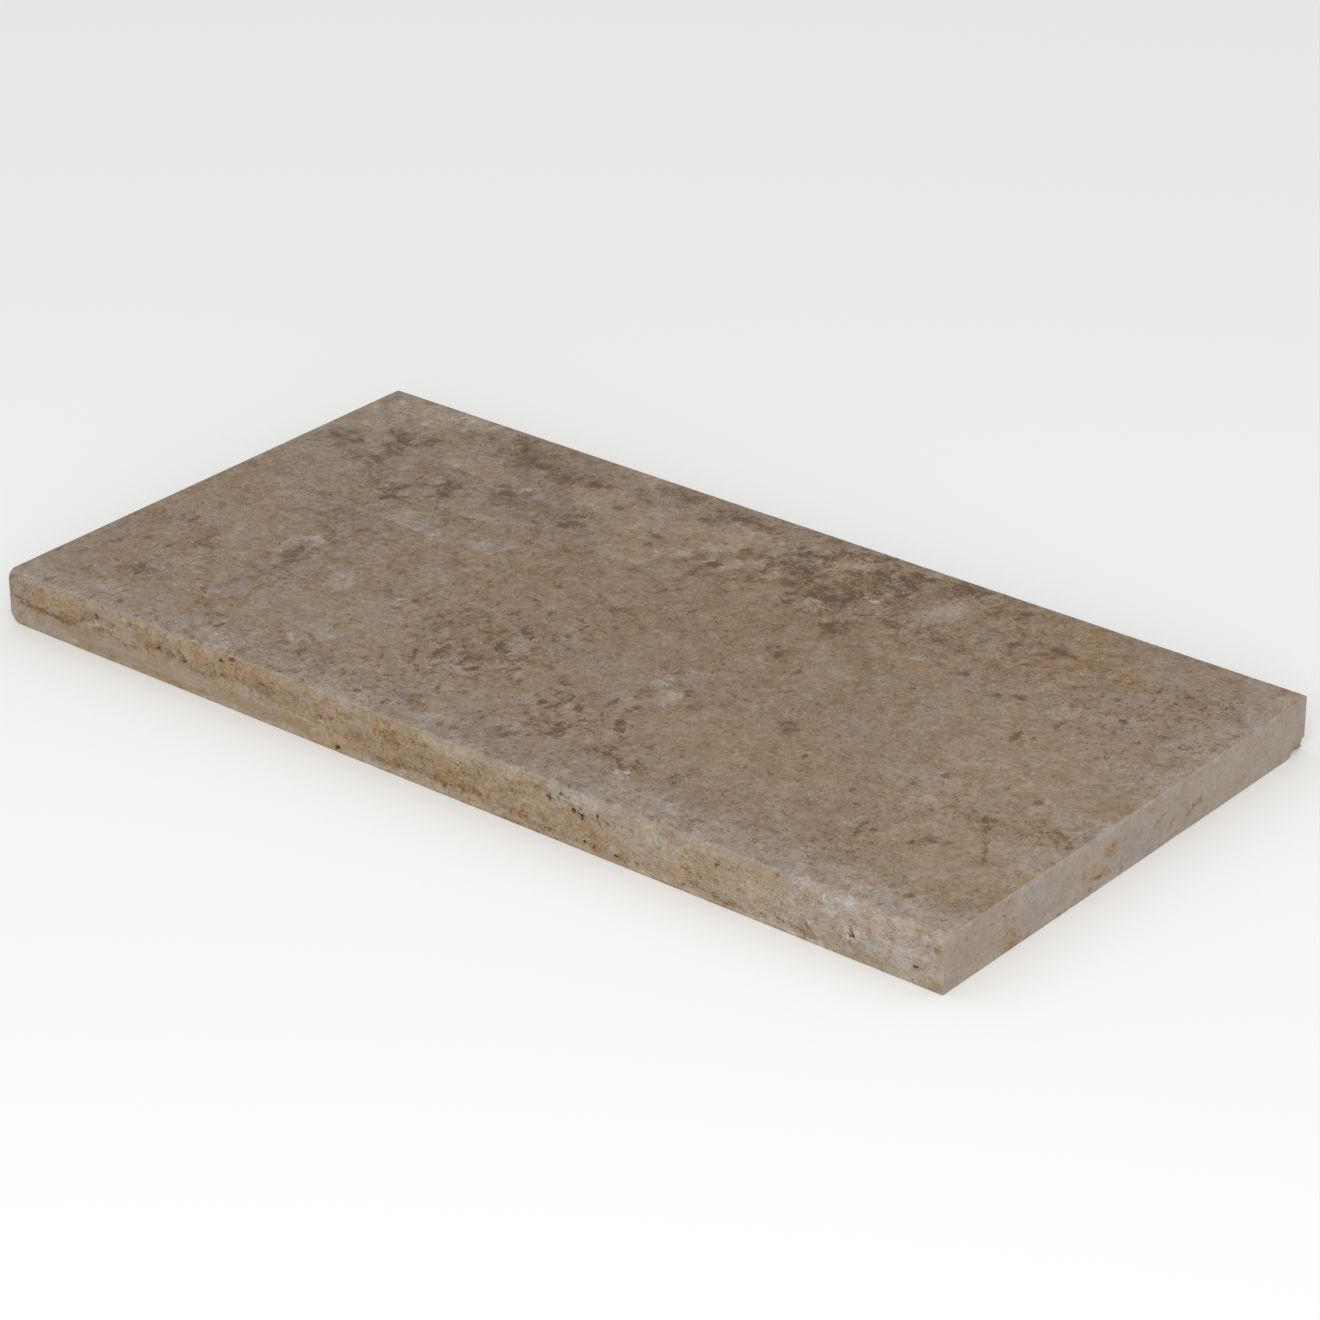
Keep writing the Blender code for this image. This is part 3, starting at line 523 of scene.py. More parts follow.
frontMarks = [
    (-301, 16, 5, 1, -5, .8), (-293, 14.7, 6, 1.1, -16, .8), (-284, 13.2, 9, 1.2, -3, .85),
    (-270, 13, 10, 1.2, 0, .85), (-258, 13.4, 6, 1.1, 12, .8), (-252, 16, 4, 1, 45, .7),
    (-246, 18.5, 5, .8, 15, .45), (-276, 15, .8, 1.2, 0, .6), (-264, 16, 3, 1.5, 0, .45),
    (-239, 23, 1, 1.2, 0, 1.2), (-238, 16, 5, .5, 5, .6), (-229, 3, 1.8, 1.3, 0, .4),
    (-245, 2.6, 1.5, 1.2, 0, .35), (-228, 22, 1.2, .8, 0, .5), (-223.5, 13.5, .9, .8, 0, .6),
    (-219, 12.5, .8, 1, 0, .7), (-208, 15, 7, .6, 12, .6), (-199, 18, 1.1, .9, 0, 1.2),
    (-194, 18.4, 1.5, 1.3, 0, 1.7), (-196, 17.8, .8, .6, 0, .8), (-208, 18.5, 1.2, .8, 0, .5),
    (-185, 18, 2, 1.4, 0, .55), (-180, 21.5, .9, .8, 0, .7), (-175.5, 17.5, 1.3, 1, 0, 1.4),
    (-177.5, 19.5, 1, 1, 0, .6), (-162, 14.8, 5, .6, 0, .6), (-154, 17, 3, .6, 30, .55),
    (-154, 28.3, .9, .7, 0, .9), (-149, 25.5, 1, .9, 0, 1.4), (-142, 28.4, 1.6, .7, 0, 1.2),
    (-146, 18.6, 4, .9, 5, .6), (-138, 19, 3, .9, 0, .6), (-121, 21, 2, 1, 0, 1.2),
    (-116, 16.2, 2, 1.2, 0, .65), (-112, 20, 2, 1, 0, .5), (-124, 19, 2, 1, 0, .5),
    (-128, 14, .8, .6, 0, .7), (-113, 24.5, .9, .8, 0, .6), (-69, 2.7, 1.3, 1, 0, 1.8),
    (-72, 3, 1.4, .8, 0, .5), (-83, 22.3, 1.4, .8, 0, .6), (-76, 16.8, 3.4, .7, 12, .8),
    (-54, 12, 1.4, 1.2, 0, .5), (-59, 28.7, .9, .7, 0, .8), (-41, 25, .8, .7, 0, .6),
    (-42, 6.3, 5, .8, -5, .35), (-20, 8, 8, .8, 5, .35), (-6, 8.6, 5, .8, 0, .35),
    (-28, 5.6, 2.5, .8, 30, .5), (3, 6, 1, .7, 0, .7), (6, 7.2, .7, .7, 0, .6),
    (17, 16.6, 2, .9, 0, .5), (24, 24, 2, 1.2, 0, .45), (17, 21, 4, 1, 0, .45),
    (45, 18, 2.6, 1, -15, .55), (35, 6.8, 1, .8, 0, .7), (38.5, 7.4, .8, .7, 0, .6),
    (42, 6.4, 1, .7, 0, .65), (47, 7.2, .8, .7, 0, .6), (53, 7, 1, .7, 0, .6),
    (56.5, 6, .8, .9, 0, .7), (30, 8.6, 3, .7, 0, .5), (48, .9, 12, .6, 0, .5),
    (71, 22.5, 1.1, .9, 0, 1.3), (78, 26, 1, .8, 0, 1.3), (77, 23.5, .9, .7, 0, 1.0),
    (80, 18.5, .9, .8, 0, 1.1), (86, 20, 1.2, 1, 0, 1.6), (90, 18.4, 1.3, 1.1, 0, 1.7),
    (90, 23, .9, .8, 0, 1.3), (97, 21.6, 1.1, .9, 0, 1.3), (101.5, 22.5, 1, .9, 0, 1.3),
    (107, 21, .7, .6, 0, .7), (111.5, 21.5, .7, .6, 0, .7), (92, 5.0, 1.1, .9, 0, 1.8),
    (97.5, 4.6, 1.2, .9, 0, 1.8), (88, 4.6, .7, .7, 0, .8), (112, 3.8, 1.1, .9, 0, 1.6),
    (67, 5.5, .7, .7, 0, .7), (68, 8.5, .7, .6, 0, .6), (75, 7, .8, .7, 0, .6),
    (79, 5.5, .7, .7, 0, .6), (70, 3.6, .7, .7, 0, .6), (118, 4, .7, .7, 0, .6),
    (125, 4.5, .7, .8, 0, .6), (134, 4, .7, .8, 0, .5), (103, 5, .6, .8, 0, .6),
    (153, 12.6, 3.6, .6, 0, .5), (156, 5.6, 4, .7, 25, .7), (161.5, 8, 1.8, .7, 60, .7),
    (171, 5.5, 1.2, .8, 0, .6), (172, 4, 1, .7, 0, .6), (179, 2.8, 1, .8, 0, 1.2),
    (184, 3.5, 4, .6, 0, .5), (195.5, 5, .9, .9, 0, 1.1), (203, 4.6, .8, .7, 0, .6),
    (212, 6, 5, .6, 3, .6), (221, 4.8, 5, .6, -15, .6), (232, 3.2, 6, .6, -18, .5),
    (174, 21.5, 1, .9, 0, 1.2), (173, 13.3, 1, .7, 0, .8), (178, 14.8, .7, .6, 0, .7),
    (167, 17.8, .7, .6, 0, .7), (209, 28.5, .7, .7, 0, .7), (253, 12.6, 1.2, 1.5, 0, 2.0),
    (252.6, 15, .8, 1.1, 0, 1.2), (246, 9, .7, .6, 0, .6), (289.6, 9.4, 1, 1.3, 0, 1.3),
    (294, 18.4, .7, .7, 0, .7), (301, 22, .7, .7, 0, .6), (225, 22.5, 2, 1, 20, .3),
]
endMarks = [
    (-118, 28.5, .8, .6, 0, .7), (-114, 28, .7, .6, 0, .7), (-129, 26.5, 1, .7, 0, .6),
    (-101.5, 26, .7, .6, 0, .8), (-106, 20.5, .7, .7, 0, .7), (-115.5, 19.5, .7, .7, 0, .6),
    (-145, 20, 1.4, .8, 0, .5), (-139.5, 17, .6, .6, 0, .6), (-62, 1, 3, .6, 0, .5),
    (-57, .8, 2, .6, 0, .5), (-37, 9, .7, .6, 0, .8), (-29, 7, 1, .6, 0, .7),
    (-24, 6.3, 2.4, .6, -5, .8), (-20, 6.2, .8, .6, 0, .8), (-36, 3, .7, .7, 0, 1.0),
    (-22, 18.5, .7, .6, 0, .7), (-20.5, 16.5, .7, .7, 0, .9), (-18, 18, .7, .7, 0, .7),
    (3, 15, .7, .7, 0, .5), (5, 13, .8, .7, 0, .4), (15, 24.5, 1.8, .6, -15, .6),
    (1.5, 8, .7, .6, 0, .5), (27, 14, .9, .7, 0, .5), (31.5, 6.7, .8, .7, 0, 1.0),
    (43.4, 27.4, .7, .6, 0, .7), (57, 10.3, 3, .6, -10, .5), (65.5, 25, .6, .6, 0, .7),
    (66, 28, .6, .6, 0, .7), (78, 28, .6, .7, 0, .7), (74.6, 18, .9, .7, -25, 1.2),
    (85, 2.5, .8, .7, 0, .4),
]

# Where dark flecks crowd, and where the stone is patchy: (place, place, half length, half width, turn,
# share), in mm as above.
topFlecks = [
    (-50, -68, 34, 30, -30, .8), (-36, -44, 18, 18, 0, .6), (-22, -10, 12, 34, 0, .4),
    (20, -90, 32, 26, 0, .8), (60, -104, 32, 20, 0, .7), (-80, -46, 30, 30, 0, .35),
    (-245, -108, 30, 22, 0, .45), (-278, -48, 24, 24, 0, .4), (-60, -120, 40, 26, 0, .55),
    (-118, -125, 26, 18, 0, .5), (42, 114, 56, 40, 0, .95), (90, 138, 40, 16, 0, .6),
    (170, 92, 50, 40, 0, .4), (262, 92, 24, 50, 0, .6), (282, 60, 20, 40, 0, .5),
    (216, 30, 18, 14, 0, .4), (225, -106, 26, 16, 0, .6), (150, -116, 60, 16, 0, .3),
    (0, -140, 300, 12, 0, .45), (240, -50, 50, 14, 0, .4), (-226, 55, 26, 26, 0, .4),
    (-166, 50, 24, 20, 0, .35), (130, -30, 22, 22, 0, .35), (-170, 125, 50, 26, 0, .3),
    (268, 92, 38, 32, 0, .4), (-50, -65, 42, 44, 0, .25),
]
frontFlecks = [
    (20, 6, 100, 4, 0, .7), (90, 22, 26, 6, 0, .6), (0, 15, 120, 12, 0, .4),
    (180, 14, 60, 12, 0, .5), (265, 15, 40, 14, 0, .35), (-190, 18, 60, 6, 0, .3),
]
endFlecks = [(-60, 15, 150, 15, 0, .15)]
topPatches = [
    (-150, 100, 190, 62, 0, .3), (45, 118, 70, 38, 0, .65), (-205, -10, 80, 120, 0, .4),
    (125, 108, 60, 40, 0, .25), (200, 100, 80, 50, 0, .25), (-45, -72, 42, 46, 0, .35),
    (60, -42, 34, 30, 0, .3), (32, -105, 54, 40, 0, .5), (-130, -122, 60, 30, 0, .4),
    (0, -138, 320, 12, 0, .1), (275, -45, 46, 14, 0, .5), (230, -98, 42, 26, 0, .2),
]
frontPatches = [(-170, 20, 140, 10, 0, .4), (0, 15, 110, 18, 0, .4), (100, 14, 60, 18, 0, .35)]
endPatches = [(-60, 14, 100, 15, 0, .2)]

# Where the front is calm and banded, in the same terms.
frontBands = [(70, 15, 300, 22, 0, .3), (-188, 5.5, 122, 6.4, 0, .95), (-72, 3.4, 30, 4.4, 0, .8)]

# How zones and marks are laid. A rim is a share of the way from a zone's middle to its outline.
stonePattern = {
    "wander": 1.7,                      # mm by which outlines wander, so that no zone keeps its oval
    "wanderSize": 13 * mm,
    "ragged": 0.2,                      # share by which a rim is pushed to and fro
    "raggedSize": 15 * mm,
    "zoneRim": 0.95,                    # where a zone has faded by half
    "zoneSoft": 0.15,                   # the fading starts and ends this far from there
    "wideSoft": 0.3,                    # or this far, for a wide zone
    "wide": 15.0,                       # mm of lesser half size that make a zone wide
    "crowdRim": (0.6, 1.3),             # where a crowd of flecks starts and ends its fading
    "stainReach": 3.0,                  # mm round a mark
    "stainFull": 0.3,                   # mm inside a mark where its stain is full
    "topSwell": 0.4,                    # mm that a mark on the top swells, whose points lie far apart
    "lowBack": (21.5, 28.5),            # mm up the back: no zones below, and all of them above
    "leastShare": 0.4,                  # a side's marks lie where its share is more than this
}

# A point's share of a side rises as 3t^2 - 2t^3 while its outward direction turns between two slopes.
sideSlopes = {
    "top": (0.8, 0.97), "bed": (0.45, 0.8), "front": (0.4, 0.75), "back": (0.45, 0.8),
    "right": (0.45, 0.8), "crestUp": (0.2, 0.55), "crestOut": (0.5, 0.8),
}


# Distance from a zone's or mark's middle over its half sizes, so that its rim lies at 1.
def overRim(first, second, place, height, halfLength, halfWidth, turn):
    away, up = first - place, second - height
    cosTurn, sinTurn = math.cos(math.radians(turn)), math.sin(math.radians(turn))
    return np.hypot((away * cosTurn + up * sinTurn) / halfLength, (up * cosTurn - away * sinTurn) / halfWidth)


# Lays zones over one another. A zone covers what lies under it by an ease that falls from 1 to 0
# about its rim, over 0.3 of the way to it, or over 0.6 if it is wide; ragged pushes the rim to and fro.
def layZones(first, second, ragged, zones):
    light, warm = np.zeros(len(first)), np.zeros(len(first))
    rim = -stonePattern["zoneRim"]
    for *outline, itsLight, itsWarm in zones:
        soft = stonePattern["zoneSoft" if min(outline[2:4]) < stonePattern["wide"] else "wideSoft"]
        cover = easeIn(-overRim(first, second, *outline) - ragged, rim - soft, rim + soft)
        light += (itsLight - light) * cover
        warm += (itsWarm - warm) * cover
    return light, warm


# How far inside the nearest mark a point lies, in mm, as (1 - distance over the rim) times the mark's
# lesser half size, down to -3 outside, that mark's darkness, and the stain round the marks, which
# fades from the darkness at the rim to nil 3 mm off.
def nearestMark(first, second, marks):
    reach = stonePattern["stainReach"]
    inside, dark, stain = np.full(len(first), -reach), np.zeros(len(first)), np.zeros(len(first))
    for *outline, darkness in marks:
        itsInside = (1.0 - overRim(first, second, *outline)) * min(outline[2:4])
        dark = np.where(itsInside > inside, darkness, dark)
        inside = np.maximum(inside, itsInside)
        stain = np.maximum(stain, darkness * easeIn(itsInside, -reach, stonePattern["stainFull"]))
    return inside, dark, stain


# Share of flecks or patches: crowds join by 1 - (1 - a)(1 - b), each fading out about its rim.
def crowding(first, second, ragged, crowds):
    bare = np.ones(len(first))
    start, end = stonePattern["crowdRim"]
    for *outline, share in crowds:
        bare *= 1.0 - share * easeIn(-overRim(first, second, *outline) - ragged, -end, -start)
    return 1.0 - bare


# A zone's light or warm step with the scuffing and painted sheen over it, which hides a share of the step.
def overScuffAndSheen(step, scuffAndSheenStep, scuffAndSheenShare):
    return step + (scuffAndSheenStep - scuffAndSheen["cover"] * step) * scuffAndSheenShare


# The pattern at each point, from its place and outward direction: each side's zones times the point's
# share of that side. The left end and the back carry on the zones of the top's rim. The bed and the
# lower part of the back have none, so that their flat middles are even.
def stoneFields(points, outward):
    x, y, z = (points / mm).T
    wx, wy, wz = (
        axis + stonePattern["wander"] * cloudNoise(points, stonePattern["wanderSize"], seed, 4)
        for axis, seed in zip((x, y, z), seeds["wander"])
    )
    onTop, onBed = easeIn(outward[:, 2], *sideSlopes["top"]), easeIn(-outward[:, 2], *sideSlopes["bed"])
    onFront = easeIn(-outward[:, 1], *sideSlopes["front"])
    onRight = easeIn(outward[:, 0], *sideSlopes["right"])
    # The nose's round where it faces up and out, which carries a painted highlight.
    noseHighlight = easeIn(outward[:, 2], *sideSlopes["crestUp"]) * easeIn(-outward[:, 1], *sideSlopes["crestOut"])
    bare, full = stonePattern["lowBack"]
    onLowBack = easeIn(outward[:, 1], *sideSlopes["back"]) * easeIn(-z, -full, -bare)
    ragged = stonePattern["ragged"] * cloudNoise(points, stonePattern["raggedSize"], seeds["ragged"], 3)
    upward = 0.5 * (z + wz)             # up the thin sides the outlines wander half as far
    top = layZones(wx, wy, ragged, topZones)
    front = layZones(wx, upward, ragged, frontZones)
    end = layZones(wy, upward, ragged, endZones)
    # Paler, greyer band along the nose: partly scuffed wear, partly painted sheen.
    scuffAndSheenShare = easeIn(-y - scuffAndSheen["ragged"] * ragged, *scuffAndSheen["rim"]) * (1.0 - onBed)
    scuffAndSheenLight = np.interp(x, (cadLow[0] / mm, cadHigh[0] / mm), scuffAndSheen["light"])
    top = overScuffAndSheen(top[0], scuffAndSheenLight, scuffAndSheenShare), overScuffAndSheen(top[1], scuffAndSheen["warm"], scuffAndSheenShare)
    rest = np.clip(1.0 - onFront - onRight - onBed - onLowBack, 0.0, 1.0)
    fields = {}
    for name, ofTop, ofFront, ofEnd in zip(("light", "warm"), top, front, end):
        fields[name] = ofTop * rest + ofFront * onFront + ofEnd * onRight
    fields["warm"] += shadeWarmth * fields["light"]
    # Painted highlight along the nose's round.
    fields["light"] += scuffAndSheen["noseHighlight"] * noseHighlight
    fields["mark"] = np.full(len(x), -stonePattern["stainReach"])
    for name in ("markDark", "stain", "flecks", "patches"):
        fields[name] = np.zeros(len(x))
    faces = (
        (onTop, x, y, stonePattern["topSwell"], topMarks, topFlecks, topPatches),
        (onFront, x, z, 0.0, frontMarks, frontFlecks, frontPatches),
        (onRight, y, z, 0.0, endMarks, endFlecks, endPatches),
    )
    for share, first, second, swell, marks, crowds, patches in faces:
        on = np.flatnonzero(share > stonePattern["leastShare"])
        place = first[on], second[on]
        fields["mark"][on], fields["markDark"][on], fields["stain"][on] = nearestMark(*place, marks)
        fields["mark"][on] += swell
        fields["flecks"][on] = crowding(*place, ragged[on], crowds)
        fields["patches"][on] = crowding(*place, ragged[on], patches)
    fields["banded"] = crowding(wx, z, ragged, frontBands) * onFront
    fields["sawn"] = 1.0 - np.clip(onTop + onFront, 0.0, 1.0)
    fields["gold"] = onFront
    return fields


# The mesh: the box skin shrunk on to the stone, then sunk along the outward direction by the waves
# of the brushed face, by its marks and by its open pits.
def stoneMesh():
    edge = stoneShape["edgeLines"]
    noseLines = edge + tuple(np.arange(edge[-1], stoneShape["noseReach"], stoneShape["noseStep"])[1:])
    lines = [
        gridLines(cadLow[0], cadHigh[0], stoneShape["stepX"], edge, edge),
        gridLines(cadLow[1], cadHigh[1], stoneShape["stepY"], noseLines, edge),
        gridLines(cadLow[2], cadHigh[2], stoneShape["stepZ"], edge, noseLines),
    ]
    box, faces = boxSkin(lines)
    points = shrinkOn(box)
    outward = outwardOf(points)
    print("sawn shape ready:", len(points), "points")
    fields = stoneFields(points, outward)
    print("pattern ready:", len(fields), "fields")
    inMark = easeIn(fields["mark"], *stoneShape["markRim"]) * fields["markDark"]
    openPit = easeIn(fields["markDark"], *stoneShape["pitDarkness"])
    openPit *= easeIn(fields["mark"], *stoneShape["pitRim"])
    middle = 1.5                        # the waves lie about this many hollows deep, from nil to twice it
    cloud = cloudNoise(points, stoneShape["hollowWaves"], seeds["hollows"], 3)
    waves = np.clip(middle + cloud, 0.0, 2.0 * middle) * stoneShape["hollows"]
    brushed = 1.0 - fields["sawn"]
    sunk = brushed * (waves + stoneShape["markDepth"] * inMark) + stoneShape["pitDepth"] * openPit
    points = points - outward * sunk[:, None]
    mesh = bpy.data.meshes.new("copingStone")
    mesh.from_pydata(points, [], faces)
    for name, values in fields.items():
        layer = mesh.attributes.new(name, "FLOAT", "POINT")
        layer.data.foreach_set("value", values.astype(np.float32))
    mesh.shade_smooth()
    return mesh


# The stone's finish. Colours are display values, 0 to 255, and lightness and warmth are steps of
# display value as in the zones.
stoneFinish = {
    "shades": [
        (-60, (56, 43, 30)), (-40, (103, 80, 56)), (-19, (124, 101, 79)), (0, (141, 121, 101)),
        (16, (154, 137, 120)), (30, (164, 150, 136)), (60, (192, 183, 172)),
    ],
    "lightReach": 60.0,                 # the shades span this many steps each way
    "cool": (0.830, 1.0, 1.340, 1.0),   # tints that shift the warmth by the reach below
    "warm": (1.160, 1.0, 0.655, 1.0),
    "gold": (1.120, 1.0, 0.600, 1.0),   # warm on the front, where iron has stained it yellow
    "warmReach": 30.0,
    "stretch": (1.0, 1.0, 1.35),        # grain lies flat in the front and the ends
    "shifts": (0.0, 1.3, 2.9, 4.1),     # metres by which the noises are shifted, so that they differ
    "mottleSize": 16 * mm,
    "mottleLight": 4.6,                 # spread of the mottling, in steps
    "mottlePatchy": 3.0,                # and how much more of it there is where the stone is patchy
    "mottleWarm": 3.0,
    "grainSize": 2.3 * mm,
    "grainLight": 5.8,
    "grainWarm": 4.8,
    "darkWarm": -0.14,                  # steps of warmth for each step that these two lighten
    "zoneBreakUp": 0.42,                # share of a zone's lightness that comes and goes within it
    # Patches and flecks show where their noise passes an edge, ash where the patches' noise is below
    # its own, and each is whole a soft step further on. Edges and strengths are pairs: the value where
    # the stone is even, and what is added where it is all patchy or crowded with flecks.
    "patchSize": 9 * mm,
    "patchEdge": (1.4, -0.95),
    "patchSoft": 0.3,
    "patchStrength": (0.3, 0.7),
    "patchLight": -20.0,
    "patchWarm": 5.0,
    "ashEdge": (-1.6, 0.7),
    "ashSoft": 0.35,
    "ashStrength": (0.4, 0.6),
    "ashLight": 10.0,
    "ashWarm": -8.0,
    "fleckSize": 4.4 * mm,
    "fleckEdge": (1.68, -0.95),
    "fleckSoft": 0.3,
    "fleckLight": -28.0,
    "fleckWarm": 7.0,
    "sparkSize": 3.0 * mm,
    "sparkEase": (1.5, 1.8),            # an ease starts at the first value and is whole at the second
    "sparkLight": 15.0,
    "sparkWarm": -6.0,
    "markRough": 0.6,                   # mm by which a mark's outline is rough
    "markEase": (-0.15, 0.15),          # mm inside that outline
    "markLight": -32.0,
    "stainLight": -5.0,
    "darkest": -42.0,                   # only open pits, with their painted shade, are darker than this
    "pitEase": (1.0, 1.7),              # darkness of a mark
    # Painted shade: open pits are darkened by this many more steps, for the shade in the hole, on top of the
    # mark's own dark colour.
    "pitShade": -33.0,
    "sawnLight": 14.0,                  # the saw leaves the ends and the back paler and greyer
    "sawnWarm": -8.0,
    "sawnCalm": 0.48,                   # share of the mottling that the saw's face loses
    "bandCalm": 0.62,                   # and that the banded part of the front loses
    "bandStretch": (0.12, 1.0, 2.2),    # its bands are long and thin
    "bandShift": 5.3,
    "bandSize": 9.0 * mm,
    "bandLight": 3.4,
    "bandWarm": -2.4,
    "roughness": 0.62,
    "specular": 0.25,
    "speckRelief": 0.06,                # shares of the relief's depth: up in the specks and the grain
    "grainRelief": 0.1,
    "fleckRelief": -0.5,                # and down in the flecks and the marks
    "markRelief": -0.6,
    "reliefStrength": 0.6,
    "reliefDepth": 0.4 * mm,
}


# Display values as linear ones: s / 12.92 up to 0.04045, and ((s + 0.055) / 1.055) ^ 2.4 above it.
def displayToLinear(channels):
    shares = [value / 255.0 for value in channels]
    return tuple(s / 12.92 if s <= 0.04045 else ((s + 0.055) / 1.055) ** 2.4 for s in shares) + (1.0,)


# Puts nodes on a material's tree and joins them. Apart from add and feed, each function gives the
# new node's output.
class NodeBench:
    def __init__(self, tree):
        self.tree = tree

    def add(self, kind, **settings):
        node = self.tree.nodes.new(kind)
        for name, value in settings.items():
            setattr(node, name, value)
        return node

    # Links an output to the socket, or sets the socket to a plain value.
    def feed(self, socket, value):
        if isinstance(value, bpy.types.NodeSocket):
            self.tree.links.new(value, socket)
        else:
            socket.default_value = value

    def math(self, operation, *values):
        node = self.add("ShaderNodeMath", operation=operation)
        for socket, value in zip(node.inputs, values):
            self.feed(socket, value)
        return node.outputs[0]

    def times(self, a, b):
        return self.math("MULTIPLY", a, b)

    # The base, plus the amount times its share.
    def plus(self, base, share, amount):
        return self.math("MULTIPLY_ADD", share, amount, base)

    # A pair's first value, plus its second times the share.
    def rise(self, pair, share):
        return self.plus(pair[0], share, pair[1])

    def mix(self, amount, a, b, blend="MIX"):
        node = self.add("ShaderNodeMix", data_type="RGBA", blend_type=blend)
        self.feed(node.inputs["Factor"], amount)
        self.feed(node.inputs["A"], a)
        self.feed(node.inputs["B"], b)
        return node.outputs["Result"]

    # Rises from 0 at low to 1 at high as 3t^2 - 2t^3.
    def ease(self, value, low, high):
        node = self.add("ShaderNodeMapRange", interpolation_type="SMOOTHSTEP")
        for name, number in (("Value", value), ("From Min", low), ("From Max", high)):
            self.feed(node.inputs[name], number)
        return node.outputs["Result"]

    # Rises from 0 to 1 while the value passes the edge by the softness.
    def past(self, value, edge, soft):
        return self.ease(self.math("SUBTRACT", value, edge), 0.0, soft)

    def field(self, name):
        return self.add("ShaderNodeAttribute", attribute_name=name).outputs["Fac"]

    # Object coordinates, scaled, then shifted so that two noises don't repeat each other.
    def place(self, scale, shift):
        node = self.add("ShaderNodeMapping")
        self.feed(node.inputs["Vector"], self.add("ShaderNodeTexCoord").outputs["Object"])
        node.inputs["Scale"].default_value = scale
        node.inputs["Location"].default_value = (shift, -0.7 * shift, 0.4 * shift)
        return node.outputs["Vector"]

    # Equally strong layers of noise, each half the size of the one before, with a spread of 1 about
    # nil: one layer has a spread of 0.135, and n of them, averaged, have 0.135 / sqrt(n).
    def cloud(self, vector, size, layers):
        node = self.add("ShaderNodeTexNoise")
        self.feed(node.inputs["Vector"], vector)
        for name, value in (("Scale", 1.0 / size), ("Detail", layers - 1.0), ("Roughness", 1.0)):
            node.inputs[name].default_value = value
        spread = 0.135 / math.sqrt(layers)
        return self.plus(-0.5 / spread, node.outputs["Fac"], 1.0 / spread)


